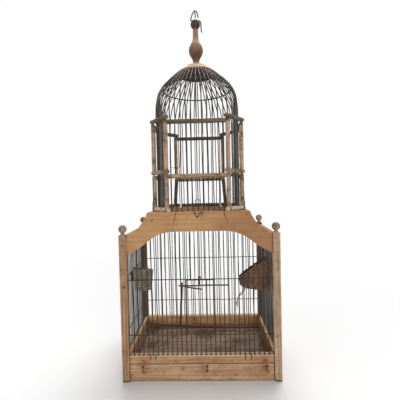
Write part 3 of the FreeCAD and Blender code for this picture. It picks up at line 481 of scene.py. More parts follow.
for number, (node, (axis, tone)) in enumerate(boards.items(), boardSeed):
    worn = [table.get(node, ()) for table in (seatRows, splits, knots, seams)]
    dress(node, woodFinish(node + "Wood", axis, tone, number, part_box(node), *worn))
print("boards finished:", len(boards))


# the grey band at the top of the ball (1.0135) and the pale bands where the belly meets the stem (0.946,
# 0.953) are painted highlights
topFinial = dict(
    foot=0.8701, sides=48, between=4, ballHeight=0.1288, ballRadius=0.0142, ballSteps=14, tip=0.06,
    turning=[  # radius and height
        (0.029, 0.003), (0.0225, 0.005), (0.0145, 0.0088), (0.0098, 0.0142), (0.0094, 0.0188),
        (0.0112, 0.0262), (0.0158, 0.0345), (0.02, 0.043), (0.0213, 0.0513), (0.0202, 0.0592),
        (0.0166, 0.0672), (0.0124, 0.075), (0.0099, 0.082), (0.0087, 0.089), (0.0082, 0.0975),
        (0.0079, 0.107), (0.0078, 0.116)],
    bands=[  # height and tone
        (0.858, tint("eed8c2")), (0.88, tint("e2c8b0")), (0.8865, tint("8e6650")),
        (0.899, tint("64422c")), (0.9175, tint("82623e")), (0.9335, tint("9e805e")),
        (0.946, tint("caae96")), (0.953, tint("c2a58c")), (0.961, tint("a4866e")),
        (0.979, tint("9a7d66")), (0.9865, tint("4a3422")), (1.0045, tint("423626")),
        (1.0135, tint("8a8070"))],
    grain=dict(pale=(0.95, 0.95, 0.95, 1.0), dark=(0.42, 0.38, 0.34, 1.0), ringGap=0.004),
    grainShift=(0.2, 0.2, 0.0),
    wobble=0.006, wobbleScale=60.0, stainScale=75.0, stains=(0.55, 0.7), stain=tint("382a1e"),
    stainFoot=(0.025, 0.04), stainAmount=(0.15, 0.5), toolMarks=5200.0, toolDepth=0.12, gloss=0.25,
    rough=0.36, darkRough=0.25, bump=(0.35, 0.0006))


def finialFinish():  # lathe work, its tone changing with height
    material, shader, coords = blankFinish("finialWood")
    tree = material.node_tree
    height = coords.split()[2]
    wobble = (coords.noise(topFinial["wobbleScale"], 4.0) - 0.5) * topFinial["wobble"] + height
    bands = topFinial["bands"]
    low, high = bands[0][0], bands[-1][0]
    # the bands include painted highlights at the top of the ball and of the belly
    ramp = put(tree, "ShaderNodeValToRGB", {0: wobble.ranged(low, high, way="LINEAR")})
    stops = ramp.color_ramp.elements
    while len(stops) < len(bands):
        stops.new(0.5)
    for stop, (level, colour) in zip(stops, bands):
        stop.position = (level - low) / (high - low)
        stop.color = colour
    grain = grouped(
        tree, pineGrain, vector=turnedTo(coords, "z", topFinial["grainShift"]), **topFinial["grain"])
    colour = mixed(1.0, Field(ramp.outputs[0]), grain["colour"], "MULTIPLY")
    stains = coords.noise(topFinial["stainScale"], 6.0, 0.7).ranged(*topFinial["stains"])
    stains = stains * (height - low).ranged(*topFinial["stainFoot"], topFinial["stainAmount"])
    colour = mixed(stains, colour, topFinial["stain"])
    rings = (height * topFinial["toolMarks"]).math("SINE") * topFinial["toolDepth"]
    rough = grain["mask"] * topFinial["darkRough"] + topFinial["rough"]
    coat(shader, colour, rough, topFinial["gloss"], rings + grain["height"], topFinial["bump"])
    return material


# the dark tones are painted shade for the boss's underside
bossLook = dict(
    grain=dict(pale=tint("eedcc8"), dark=tint("c6ac92"), ringGap=0.005),
    age=dict(low=farBox[0], high=farBox[1], patch=tint("bc9c7e"), patchAmount=0.4, grime=tint("5c4632"),
             grimeAmount=0.35, rubbed=tint("eedcc8"), edgeWidth=0.0),
    grainShift=(0.4, 0.2, 0.1), soot=(tint("18110b"), tint("271c13")), sootScale=60.0,
    sootRange=(0.35, 0.7), beneath=(-0.7, -0.3),
    handled=tint("96785c"), handledAmount=0.35, rim=(0.036, 0.054), gloss=0.15, bump=(0.4, 0.0006))


def bossFinish():  # pale and worn above, dark beneath: painted shade on the faces turned down
    material, shader, coords = blankFinish("bossWood")
    tree = material.node_tree
    x, y, z = coords.split()
    lift = got(tree, "ShaderNodeTexCoord", output="Normal").split()[2]
    grain = grouped(
        tree, pineGrain, vector=turnedTo(coords, "x", bossLook["grainShift"]), **bossLook["grain"])
    aged = grouped(tree, boardAge, vector=coords, base=grain["colour"], **bossLook["age"])
    clouds = coords.noise(bossLook["sootScale"], 5.0).ranged(*bossLook["sootRange"])
    soot = mixed(clouds, *bossLook["soot"])
    rim = (x * x + y * y).math("SQRT").ranged(*bossLook["rim"])
    handled = mixed(rim * bossLook["handledAmount"], aged["colour"], bossLook["handled"])
    # faces turned down take the dark tones: painted shade
    colour = mixed(lift.ranged(*bossLook["beneath"]), soot, handled)
    coat(shader, colour, aged["rough"], bossLook["gloss"], grain["height"], bossLook["bump"])
    return material


def smoothed(points, steps):  # an even curve through every point of a profile
    path = []
    for k in range(len(points) - 1):
        around = [Vector(points[max(0, min(len(points) - 1, k + j))]) for j in (-1, 0, 1, 2)]
        before, start, end, after = around
        for step in range(steps):
            t = step / steps
            square = 2 * before - 5 * start + 4 * end - after
            cube = 3 * start - before - 3 * end + after
            path.append(0.5 * (2 * start + (end - before) * t + square * t * t + cube * t ** 3))
    return path + [Vector(points[-1])]


def linked(label, mesh):
    piece = bpy.data.objects.new(label, mesh)
    bpy.context.scene.collection.objects.link(piece)
    return piece


def onCircle(k, steps, radius, height=0.0):
    angle = k * math.tau / steps
    return Vector((radius * math.cos(angle), radius * math.sin(angle), height))


def lathed(label, profile, sides, finish):  # radii and heights spun round and closed
    shape = bmesh.new()
    rings = []
    for radius, height in profile:
        rings.append([shape.verts.new(onCircle(k, sides, radius, height)) for k in range(sides)])
    for lower, upper in zip(rings, rings[1:]):
        for k in range(sides):
            shape.faces.new((lower[k], lower[(k + 1) % sides], upper[(k + 1) % sides], upper[k]))
    shape.faces.new(rings[0][::-1])
    shape.faces.new(rings[-1])
    bmesh.ops.recalc_face_normals(shape, faces=shape.faces)
    mesh = bpy.data.meshes.new(label)
    shape.to_mesh(mesh)
    shape.free()
    for face in mesh.polygons:
        face.use_smooth = len(face.vertices) == 4
    mesh.materials.append(finish)
    return linked(label, mesh)


def finialProfile():  # foot, waist, belly and stem, then the ball
    turning, ball, steps = topFinial["turning"], topFinial["ballRadius"], topFinial["ballSteps"]
    first = math.pi - math.asin(turning[-1][0] / ball)
    outline = [Vector((turning[0][0], 0.0))] + smoothed(turning, topFinial["between"])
    for step in range(steps):
        angle = first - (first - topFinial["tip"]) * step / (steps - 1)
        outline.append(Vector((ball * math.sin(angle), topFinial["ballHeight"] + ball * math.cos(angle))))
    return [(radius, topFinial["foot"] + height) for radius, height in outline]


def place(piece, body, slot, node=None):  # rides a body and hides the CAD node it stands for
    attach(piece, body)
    if node:
        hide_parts(node)


piece = lathed("turnedFinial", finialProfile(), topFinial["sides"], finialFinish())
place(piece, "cage", "frame_wood", "top_finial")
dress("dome_boss", bossFinish())
print("turned pieces finished")


wireLook = dict(gloss=0.5, bump=(0.3, 0.0004))


def wireFinish(label, iron, rust, amount, dulled=None, crown=None):
    material, shader, coords = blankFinish(label)
    skin = grouped(material.node_tree, rustSkin, vector=coords, iron=iron, rust=rust, rustAmount=amount)
    colour, shine, gloss = skin["colour"], skin["metal"], wireLook["gloss"]
    if dulled:  # some wires went grey, their neighbours stayed dark
        runs = coords.vector("MULTIPLY", dulled["scale"])
        pick = runs.noise(1.0, 0.0).ranged(dulled["start"], dulled["end"])
        colour = mixed(pick * dulled["amount"], colour, dulled["colour"])
    if crown:  # the top ends turn tan: dust, and a painted highlight in place of their shine
        bare = coords.split()[2].ranged(crown["start"], crown["end"])
        colour = mixed(bare * crown["amount"], colour, crown["colour"])
        shine = shine * (1.0 - bare)
        gloss = bare.ranged(0.0, 1.0, (gloss, crown["gloss"]))
    feed(shader.inputs["Metallic"], shine)
    coat(shader, colour, skin["rough"], gloss, skin["height"], wireLook["bump"])
    return material


greyRuns = dict(scale=(83.0, 83.0, 0.9), start=0.5, end=0.58, colour=tint("928e82"), amount=0.4)
# the tan crown of the dome wires is dust and a painted highlight
bareTop = dict(start=0.818, end=0.842, colour=tint("745d42"), amount=0.85, gloss=0.1)
cageWire = wireFinish("cageWire", tint("2a2520"), tint("3e2d20"), 0.5)
# the side wires take a darker iron than the cage wires: painted shade; their grey runs are random tone
sideWire = wireFinish("sideWire", tint("22211e"), tint("3a2e24"), 0.45, greyRuns)
domeWire = wireFinish(
    "domeWire", tint("2c2b25"), tint("443a2c"), 0.45, dict(greyRuns, amount=0.25), bareTop)
hookWire = wireFinish("hookWire", tint("3a322c"), tint("583a26"), 0.6)
nailIron = wireFinish("nailIron", tint("3e3630"), tint("543826"), 0.65)
dress("basket_hangers", cageWire)
for node in ("door_bars", "door_frame", "tray_hook_left", "tray_hook_right", "tray_pull"):
    dress(node, hookWire)
for node in ("catch_nails", "pivot_nails"):
    dress(node, nailIron)
print("iron finished")


strandLook = dict(swing=4.0, tip=0.6)  # noise seldom leaves its middle by more than a quarter
strandSeeds = dict(upright=2, shaped=12.0, dome=15.0, stick=21.0, cane=61.0)


# a line swept as a round strand, bent and uneven by hand
def strandRecipe(
        lines="Geometry", strandRadius=0.0011, stepLength=0.02, bend=0.002, bendScale=(90.0, 90.0, 9.0),
        uneven=0.05, unevenScale=60.0, endRound=0.0, sides=8, seed=1.0, strandMaterial="Material"):
    tree = lines.tree
    curve = got(tree, "GeometryNodeMeshToCurve", {0: lines})
    sampled = got(tree, "GeometryNodeResampleCurve", {"Curve": curve, "Length": stepLength}, mode="LENGTH")
    position = got(tree, "GeometryNodeInputPosition")
    slack = got(tree, "GeometryNodeInputNamedAttribute", {"Name": "slack"}, data_type="FLOAT")
    along = tree.nodes.new("GeometryNodeSplineParameter").outputs
    factor, length = Field(along["Factor"]), Field(along["Length"])
    middle = (factor * math.pi).math("SINE")  # the ends stay where they are
    drift = {"Vector": position.vector("MULTIPLY", bendScale), "W": seed, "Scale": 1.0, "Detail": 1.0}
    push = got(tree, "ShaderNodeTexNoise", drift, 1, noise_dimensions="4D")
    push = push.vector("SUBTRACT", (0.5, 0.5, 0.5)).scaled(bend * strandLook["swing"] * (middle * slack))
    bent = got(tree, "GeometryNodeSetPosition", {"Geometry": sampled, "Offset": push})
    lumps = {"Vector": position, "W": seed, "Scale": unevenScale, "Detail": 2.0}
    swell = got(tree, "ShaderNodeTexNoise", lumps, noise_dimensions="4D") - 0.5
    swell = swell * (uneven * strandLook["swing"]) + 1.0
    toEnd = length.least(got(tree, "GeometryNodeSplineLength") - length)
    rounding = toEnd.math("DIVIDE", endRound.most(0.00001), True).math("SQRT")
    rounding = rounding * (1.0 - strandLook["tip"]) + strandLook["tip"]
    ring = got(tree, "GeometryNodeCurvePrimitiveCircle", {"Resolution": sides, "Radius": 1.0})
    sweep = {
        "Curve": bent, "Profile Curve": ring, "Fill Caps": True, "Scale": swell * rounding * strandRadius}
    swept = got(tree, "GeometryNodeCurveToMesh", sweep)
    smooth = got(tree, "GeometryNodeSetShadeSmooth", {"Geometry": swept})
    return [got(tree, "GeometryNodeSetMaterial", {"Geometry": smooth, "Material": strandMaterial})]


# one domed head on every point, facing out of its board
def nailRecipe(
        points="Geometry", headRadius=0.0016, headRise=0.4, sides=10, rings=6, nailMaterial="Material"):
    tree = points.tree
    ball = got(tree, "GeometryNodeMeshUVSphere", {"Segments": sides, "Rings": rings, "Radius": 1.0})
    facing = got(tree, "GeometryNodeInputNamedAttribute", {"Name": "facing"}, data_type="FLOAT_VECTOR")
    turn = got(tree, "FunctionNodeAlignRotationToVector", {"Vector": facing}, axis="Z")
    flat = got(tree, "ShaderNodeCombineXYZ", {0: headRadius, 1: headRadius, 2: headRadius * headRise})
    stamp = {"Points": points, "Instance": ball, "Rotation": turn, "Scale": flat}
    heads = got(tree, "GeometryNodeInstanceOnPoints", stamp)
    real = got(tree, "GeometryNodeRealizeInstances", {"Geometry": heads})
    smooth = got(tree, "GeometryNodeSetShadeSmooth", {"Geometry": real})
    return [got(tree, "GeometryNodeSetMaterial", {"Geometry": smooth, "Material": nailMaterial})]


handBentStrand = nodeGroup("handBentStrand", strandRecipe, ("geometry",), "GeometryNodeTree")
nailHeads = nodeGroup("nailHeads", nailRecipe, ("geometry",), "GeometryNodeTree")


def grown(label, mesh, tree, values):  # runs a tree on a mesh and keeps the plain result
    seedling = linked(label + "Lines", mesh)
    modifier = seedling.modifiers.new("grow", "NODES")
    modifier.node_group = tree
    for item in tree.interface.items_tree:
        if item.item_type == "SOCKET" and item.in_out == "INPUT" and item.name in values:
            modifier[item.identifier] = values[item.name]
    bpy.context.view_layer.update()
    plain = bpy.data.meshes.new_from_object(seedling.evaluated_get(bpy.context.evaluated_depsgraph_get()))
    seedling.modifiers.remove(modifier)
    bpy.data.objects.remove(seedling)
    plain.name = label
    return linked(label, plain)


def strand(label, runs, slack, hand, finish, **changes):  # a piece with one strand a run
    points, edges, loose = [], [], []
    for number, run in enumerate(runs):
        start = len(points)
        points += [tuple(point) for point in run]
        edges += [(start + k, start + k + 1) for k in range(len(run) - 1)]
        loose += [slack[number] if isinstance(slack, list) else slack] * len(run)
    mesh = bpy.data.meshes.new(label)
    mesh.from_pydata(points, edges, [])
    mesh.attributes.new("slack", "FLOAT", "POINT").data.foreach_set("value", loose)
    return grown(label, mesh, handBentStrand, dict(hand, strandMaterial=finish, **changes))


def strandsOf(node):  # the two ends and the radius of every straight rod in a CAD node
    shell = bmesh.new()
    shell.from_mesh(nodes[node].data)
    bmesh.ops.remove_doubles(shell, verts=shell.verts, dist=0.00001)
    seen, rods = set(), []
    for first in shell.verts:
        if first in seen:
            continue
        seen.add(first)
        stack, island = [first], []
        while stack:
            vertex = stack.pop()
            island.append(vertex.co[:])
            for edge in vertex.link_edges:
                other = edge.other_vert(vertex)
                if other not in seen:
                    seen.add(other)
                    stack.append(other)
        cloud = np.array(island)
        centre = (cloud.min(0) + cloud.max(0)) / 2
        axis = np.linalg.svd(cloud - cloud.mean(0), full_matrices=False)[2][0]
        axis = axis * (1 if axis[np.argmax(abs(axis))] > 0 else -1)
        reach = (cloud - centre) @ axis
        across = np.linalg.norm((cloud - centre) - np.outer(reach, axis), axis=1)
        low, high = Vector(centre + axis * reach.min()), Vector(centre + axis * reach.max())
        rods.append((low, high, float(np.median(across))))
    shell.free()
    return rods


wireHand = dict(
    stepLength=0.016, bend=0.0019, bendScale=(95.0, 95.0, 7.0), uneven=0.03, unevenScale=70.0, sides=8)
bentWires = {  # node: piece, slack, radius, finish
    "back_wires": ("backWires", 1.0, 0.00135, cageWire),
    "front_wires_left": ("frontWiresLeft", 1.0, 0.00125, cageWire),
    "front_wires_right": ("frontWiresRight", 1.0, 0.00125, cageWire),
    "front_wires_door": ("frontWiresDoor", 0.35, 0.00125, cageWire),
    "left_wires": ("leftWires", 0.14, 0.00135, sideWire),
    "right_wires": ("rightWires", 0.14, 0.00135, sideWire),
    "turret_wires_front": ("turretWiresFront", 1.1, 0.00135, cageWire),
    "turret_wires_back": ("turretWiresBack", 1.1, 0.00135, cageWire),
    "turret_wires_sides": ("turretWiresSides", 0.35, 0.00135, sideWire),
    "turret_wires_corners": ("turretWiresCorners", 0.35, 0.00135, sideWire),
}
doorSide = dict(near=0.03, far=0.046, front=-0.12)  # wires this close to the door stay straight
crossLoose = 0.7


def doorSlack(low, slackness):
    return 0.0 if doorSide["near"] < abs(low.x) < doorSide["far"] else slackness


uprights = enumerate(bentWires.items(), strandSeeds["upright"])
for number, (node, (label, slackness, radius, finish)) in uprights:
    rods = strandsOf(node)
    slack = [slackness] * len(rods)
    if "front_wires" in node:
        slack = [doorSlack(low, slackness) for low, high, thick in rods]
    runs = [(low, high) for low, high, thick in rods]
    piece = strand(label, runs, slack, wireHand, finish, strandRadius=radius, seed=float(number))
    place(piece, "cage", "wire", node)
print("upright wires bent:", len(bentWires))

crossRuns = [(low, high) for low, high, thick in strandsOf("cross_wires")]
crossSlack = [0.0 if max(low.y, high.y) < doorSide["front"] else crossLoose for low, high in crossRuns]
hoop = dict(radius=0.1013, height=0.8042, tilt=0.002, steps=72)  # its front has slipped a little
hoopRun = []
for k in range(hoop["steps"] + 1):
    level = hoop["height"] + hoop["tilt"] * math.sin(k * math.tau / hoop["steps"])
    hoopRun.append(onCircle(k, hoop["steps"], hoop["radius"], level))
hookRun = [
    (-0.0022, -0.1262, 0.2566), (-0.0026, -0.1266, 0.266), (-0.003, -0.1274, 0.274),
    (-0.0012, -0.129, 0.2792), (0.0016, -0.1306, 0.2786), (0.002, -0.1312, 0.274),
    (0.0004, -0.1306, 0.2716)]
loopRuns = [  # the wire through the ball, then the inner strand
    [(0.019, 0, 0.9745), (0.0174, 0, 0.983), (0.0168, 0, 0.992), (0.0169, 0, 1.001), (0.015, 0, 1.0075),
     (0.0105, 0, 1.0104), (-0.0105, 0, 1.0104), (-0.014, 0, 1.013), (-0.0122, 0, 1.019),
     (-0.008, 0, 1.0305), (-0.0038, 0, 1.0372), (0.0005, 0, 1.0398), (0.0042, 0, 1.037),
     (0.007, 0, 1.029), (0.0088, 0, 1.0175)],
    [(-0.0015, 0.003, 1.0378), (0.0, 0.0034, 1.032), (0.0, 0.0034, 1.02)],
]
shapedWires = {  # node: piece, body, runs, radius, slack, step, finish
    "hanging_loop": ("hangingLoop", "loop", loopRuns, 0.0018, 0.1, 0.002, hookWire),
    "cross_wires": ("crossWires", "cage", crossRuns, 0.00122, crossSlack, 0.008, cageWire),
    "dome_hoop": ("domeHoop", "cage", [hoopRun], 0.002, 0.15, 0.008, cageWire),
    "door_hook": ("doorHook", "door", [hookRun], 0.0014, 0.2, 0.002, cageWire),
}
for node, (label, body, runs, radius, slack, step, finish) in shapedWires.items():
    seed = strandSeeds["shaped"] + len(runs)
    piece = strand(label, runs, slack, wireHand, finish, strandRadius=radius, stepLength=step, seed=seed)
    place(piece, body, "wire", node)
print("shaped wires bent:", len(shapedWires))


dome = dict(
    hoopRadius=0.1009, hoopHeight=0.8085, crownRadius=0.031, crownHeight=0.8682, sag=0.0035,
    wireRadius=0.00165, arcSteps=9, endRadius=0.0485, endRoom=0.003, endTurn=0.0015, endDepth=0.005,
    footDepth=0.004, slack=0.7, stepLength=0.008, bendScale=(60.0, 60.0, 14.0))


def arcThrough(first, middle, last, steps):  # points on the circle through three points of a profile
    (ax, ay), (bx, by), (cx, cy) = first, middle, last
    a, b, c = ax * ax + ay * ay, bx * bx + by * by, cx * cx + cy * cy
    twice = 2 * (ax * (by - cy) + bx * (cy - ay) + cx * (ay - by))
    ux = (a * (by - cy) + b * (cy - ay) + c * (ay - by)) / twice
    uy = (a * (cx - bx) + b * (ax - cx) + c * (bx - ax)) / twice
    start, end = math.atan2(ay - uy, ax - ux), math.atan2(cy - uy, cx - ux)
    radius = math.hypot(ax - ux, ay - uy)
    turns = [start + (end - start) * k / steps for k in range(steps + 1)]
    arc = [(ux + radius * math.cos(turn), uy + radius * math.sin(turn)) for turn in turns]
    return arc, (ux, uy, radius)


def domeRuns():  # every upright goes on over the hoop and ends in a hole of the boss
    rim, crown = (dome["hoopRadius"], dome["hoopHeight"]), (dome["crownRadius"], dome["crownHeight"])
    chord = math.dist(rim, crown)
    middle = (
        (rim[0] + crown[0]) / 2 + (crown[1] - rim[1]) / chord * dome["sag"],
        (rim[1] + crown[1]) / 2 + (rim[0] - crown[0]) / chord * dome["sag"])
    crownArc, (centreR, centreZ, bendR) = arcThrough(rim, middle, crown, dome["arcSteps"])
    inwardR, inwardZ = (centreR - rim[0]) / bendR, (centreZ - rim[1]) / bendR
    endR = dome["endRadius"]
    endZ = centreZ + math.sqrt(bendR ** 2 - (endR - centreR) ** 2)
    crownArc = [point for point in crownArc if point[0] > endR + dome["endRoom"]]
    crownArc += [(endR, endZ), (endR - dome["endTurn"], endZ - dome["endDepth"])]
    feet = [high for node in bentWires if "turret" in node for low, high, thick in strandsOf(node)]
    feet.sort(key=lambda foot: math.atan2(foot.x, foot.y))
    runs = []
    for foot in feet:
        radius = math.hypot(foot.x, foot.y)
        inset = radius - rim[0]
        rise = min(inset * -inwardZ / (1 + inwardR), rim[1] - foot.z)
        bend = (inset ** 2 + rise ** 2) / (2 * inset)
        half = math.asin(rise / bend) / 2
        spring = (radius, rim[1] - rise)
        bow = (radius - bend * (1 - math.cos(half)), spring[1] + bend * math.sin(half))
        shoulder = arcThrough(spring, bow, rim, dome["arcSteps"])[0]
        profile = [(radius, foot.z - dome["footDepth"])] + shoulder + crownArc[1:]
        runs.append([Vector((foot.x / radius * r, foot.y / radius * r, z)) for r, z in profile])
    return runs[::2], runs[1::2]


domeNodes = ("dome_wires_long", "dome_wires_short")
for node, label, runs in zip(domeNodes, ("domeWiresLong", "domeWiresShort"), domeRuns()):
    piece = strand(
        label, runs, dome["slack"], wireHand, domeWire, stepLength=dome["stepLength"],
        bendScale=dome["bendScale"], strandRadius=dome["wireRadius"], seed=strandSeeds["dome"] + len(runs))
    place(piece, "cage", "wire", node)
    print(label, len(runs))

sticks = {  # node: piece, grain, tone, slot, slack
    "base_ring": ("baseSticks", "x", "peeled", "frame_wood", 0.6),
    "middle_ring_rails": ("middleSticks", "x", "stick", "frame_wood", 0.8),
    "upper_ring_rails": ("upperSticks", "x", "darkStick", "frame_wood", 0.8),
    "lower_turret_posts": ("lowerPosts", "z", "lowStick", "frame_wood", 0.5),
    "upper_turret_posts": ("upperPosts", "z", "postStick", "frame_wood", 0.5),
    "low_perch": ("lowPerch", "x", "perch", "perch_wood", 0.8),
    "perch_twig": ("uprightTwig", "z", "twig", "perch_wood", 1.6),
    "perch_arms": ("twigArms", "x", "twigArm", "perch_wood", 1.6),
}
stickHand = dict(
    stepLength=0.0035, bend=0.0011, bendScale=(14.0, 14.0, 14.0), uneven=0.07, unevenScale=48.0, sides=14,
    endRound=0.004)
perchSag = dict(
    left=(-0.2003, 0.061), dip=(0.04, 0.044), right=(0.2002, 0.0435), depth=0.084, radius=0.004, steps=16)
spread = dict(back=0.1, foot=0.006)  # the back pair of lower posts has spread at the foot
twigGirth = 1.2
stickWoodSeed = 31
stickEnds = []
for number, (node, (label, axis, tone, slot, slack)) in enumerate(sticks.items()):
    rods = strandsOf(node)
    finish = woodFinish(label + "Wood", axis, tone, number + stickWoodSeed)
    runs, thick = [(low, high) for low, high, radius in rods], rods[0][2]
    if node == "perch_twig":
        thick *= twigGirth
    if node == "lower_turret_posts":
        for low, high in runs:
            if low.y > spread["back"]:
                low.x += math.copysign(spread["foot"], low.x)
    if node == "low_perch":  # a green branch that has sagged
        profile = arcThrough(perchSag["left"], perchSag["dip"], perchSag["right"], perchSag["steps"])[0]
        runs, thick = [[Vector((x, perchSag["depth"], z)) for x, z in profile]], perchSag["radius"]
    seed = strandSeeds["stick"] + number
    piece = strand(label, runs, slack, stickHand, finish, strandRadius=thick, seed=seed)
    place(piece, "cage", slot, node)
    if "ring" in node:
        stickEnds += [(node, low, high, radius) for low, high, radius in rods]
print("sticks whittled:", len(sticks))

chain = dict(
    length=0.0104, width=0.0064, wire=0.00105, rise=0.0082, pin=(0.1263, -0.04, 0.2106),
    leans=(0.75, 0.7, 0.6, 0.45, 0.3, 0.1, -0.35), steps=16)
linkRuns = []
hang = Vector(chain["pin"])
halfLong, halfWide = chain["length"] / 2 - chain["wire"], chain["width"] / 2 - chain["wire"]
for number, lean in enumerate(chain["leans"]):  # each link is turned a quarter against its neighbours
    down = Vector((-math.sin(lean), 0, -math.cos(lean)))
    across = Vector((math.cos(lean), 0, -math.sin(lean))) if number % 2 else Vector((0, 1, 0))
    turns = [step * math.tau / chain["steps"] for step in range(chain["steps"] + 1)]
    middle = hang + down * halfLong
    link = [across * (halfWide * math.cos(turn)) - down * (halfLong * math.sin(turn)) for turn in turns]
    linkRuns.append([middle + offset for offset in link])
    hang = hang + down * chain["rise"]
chainHand = dict(strandRadius=chain["wire"], stepLength=0.001, uneven=0.03, sides=8, seed=47.0)
piece = strand("nestChain", linkRuns, 0.0, chainHand, hookWire)
place(piece, "chain", "wire", "nest_chain")

lashing = dict(turns=3, steps=12, gap=0.0017, fromEnd=0.0075, grip=0.0004, slack=0.3, slant=0.1)
tieHand = dict(
    strandRadius=0.0006, stepLength=0.0016, bend=0.0004, bendScale=(200.0, 200.0, 200.0), uneven=0.03,
    sides=6, seed=51.0)
nails = dict(headRadius=0.0017, headRise=0.42, fromEnd=0.0085, sunk=0.97)


def helix(start, axis, radius):  # a few turns of thin wire round a stick
    side = axis.orthogonal().normalized()
    other = axis.cross(side).normalized()
    points = []
    for step in range(lashing["turns"] * lashing["steps"] + 1):
        spot = onCircle(step, lashing["steps"], radius)
        rise = lashing["gap"] * step / lashing["steps"]
        points.append(start + axis * rise + side * spot.x + other * spot.y)
    return points


wraps, heads = [], []
for node, low, high, radius in stickEnds:
    run = (high - low).normalized()
    for end, way in ((low, run), (high, -run)):
        if node != "base_ring":
            spot = end + way * nails["fromEnd"]
            out = Vector((spot.x, spot.y, 0)).normalized()
            out = (out - way * out.dot(way)).normalized()
            heads.append((spot + out * radius * nails["sunk"], out))
        elif min(abs(run.x), abs(run.y)) > lashing["slant"]:  # only the diagonal sticks are tied
            wraps.append(helix(end + way * lashing["fromEnd"], way, radius + lashing["grip"]))
place(strand("stickLashings", wraps, lashing["slack"], tieHand, hookWire), "cage", "wire")

nailRows = dict(
    postSide=0.21, postFront=0.133, postMiddle=0.199, railDepth=0.122,
    sideHeights=(0.018, 0.052, 0.349, 0.374), frontHeights=(0.02, 0.056, 0.364, 0.378), sillAcross=0.118,
    sillDepths=(-0.1, -0.035, 0.035, 0.1), sillTop=0.448)
for side in (-1, 1):  # through the posts into the boards, and down into the turret sills
    for deep in (-1, 1):
        x, y = side * nailRows["postSide"], deep * nailRows["railDepth"]
        heads += [(Vector((x, y, height)), Vector((side, 0, 0))) for height in nailRows["sideHeights"]]
        x, y = side * nailRows["postMiddle"], deep * nailRows["postFront"]
        heads += [(Vector((x, y, height)), Vector((0, deep, 0))) for height in nailRows["frontHeights"]]
    x, z = side * nailRows["sillAcross"], nailRows["sillTop"]
    heads += [(Vector((x, y, z)), Vector((0, 0, 1))) for y in nailRows["sillDepths"]]
mesh = bpy.data.meshes.new("frameNails")
mesh.from_pydata([spot[:] for spot, out in heads], [], [])
facing = mesh.attributes.new("facing", "FLOAT_VECTOR", "POINT")
facing.data.foreach_set("vector", [value for spot, out in heads for value in out])
headLook = dict(headRadius=nails["headRadius"], headRise=nails["headRise"], nailMaterial=nailIron)
place(grown("frameNails", mesh, nailHeads, headLook), "cage", "wire")
print("lashings and nails:", len(wraps), len(heads))

staples = [  # the clip and the short hook on the front header, then the staple on the back rail
    [(-0.0105, -0.126, 0.4495), (-0.0105, -0.1298, 0.449), (-0.0085, -0.1304, 0.4418),
     (-0.0033, -0.1304, 0.4326), (0.0029, -0.1304, 0.4416), (0.008, -0.1298, 0.449), (0.008, -0.126, 0.4495)],
    [(0.009, -0.1255, 0.4495), (0.0092, -0.13, 0.449), (0.009, -0.1306, 0.444), (0.0088, -0.1304, 0.4378),
     (0.0088, -0.1285, 0.4372)],
    [(-0.0185, 0.118, 0.459), (-0.0182, 0.118, 0.465), (-0.016, 0.118, 0.4725), (-0.01, 0.118, 0.475),
     (-0.0035, 0.118, 0.4725), (-0.001, 0.118, 0.465), (-0.0008, 0.118, 0.459)],
]
sillEnds = ((-0.1347, 0.0586), (-0.1211, 0.0585), (0.1161, 0.0575), (0.1317, 0.0559))
for x, tip in sillEnds:  # wire ends bent over the sill, and how far down each reaches
    over = [(x, -0.1215, 0.0685), (x, -0.123, 0.0702), (x, -0.1288, 0.07)]
    staples.append(over + [(x - 0.0004, -0.1303, 0.068), (x - 0.0003, -0.1303, tip)])
curl = [  # from the foot up, on the right at the back
    (0.1262, 0.0845, 0.455), (0.1266, 0.0845, 0.465), (0.1256, 0.0855, 0.475), (0.1216, 0.0865, 0.4826),
    (0.1162, 0.0865, 0.4812), (0.1144, 0.0855, 0.474), (0.1176, 0.0845, 0.4688)]
for side in (-1, 1):  # curls of tying wire at the outer ends of the base sticks
    for deep in (-1, 1):
        staples.append([(side * x, deep * y, z) for x, y, z in curl])
nestEye = [
    (0.1263, 0.23), (0.1287, 0.2185), (0.1285, 0.2135), (0.1263, 0.2112), (0.1241, 0.2135),
    (0.1239, 0.2185), (0.1263, 0.23)]
staples.append([(x, chain["pin"][1], z) for x, z in nestEye])  # the eye that the chain hangs in
staples.append([  # a spare wire bent aside
    (-0.0641, 0.1164, 0.688), (-0.0648, 0.116, 0.65), (-0.0662, 0.116, 0.615), (-0.068, 0.1158, 0.586),
    (-0.071, 0.1156, 0.5832), (-0.085, 0.115, 0.5838), (-0.1, 0.114, 0.5842)])
stapleHand = dict(
    strandRadius=0.001, stepLength=0.0015, bend=0.0004, bendScale=(160.0, 160.0, 160.0), uneven=0.03,
    sides=7, seed=57.0)
stapleSlack = 0.4
place(strand("wireStaples", staples, stapleSlack, stapleHand, hookWire), "cage", "wire")
print("staples and curls:", len(staples))


wickerLook = dict(
    grain=(2.6, 2.6, 2.6), ringGap=0.005, rounds=(0.5, 0.5, 3.0), roundScale=110.0, roundRange=(0.4, 0.62),
    dustScale=40.0, dustRange=(0.5, 0.72), dustAmount=0.5, roughRange=(0.3, 0.7), rough=(0.6, 0.86),
    gloss=0.2, bump=(0.45, 0.0006))


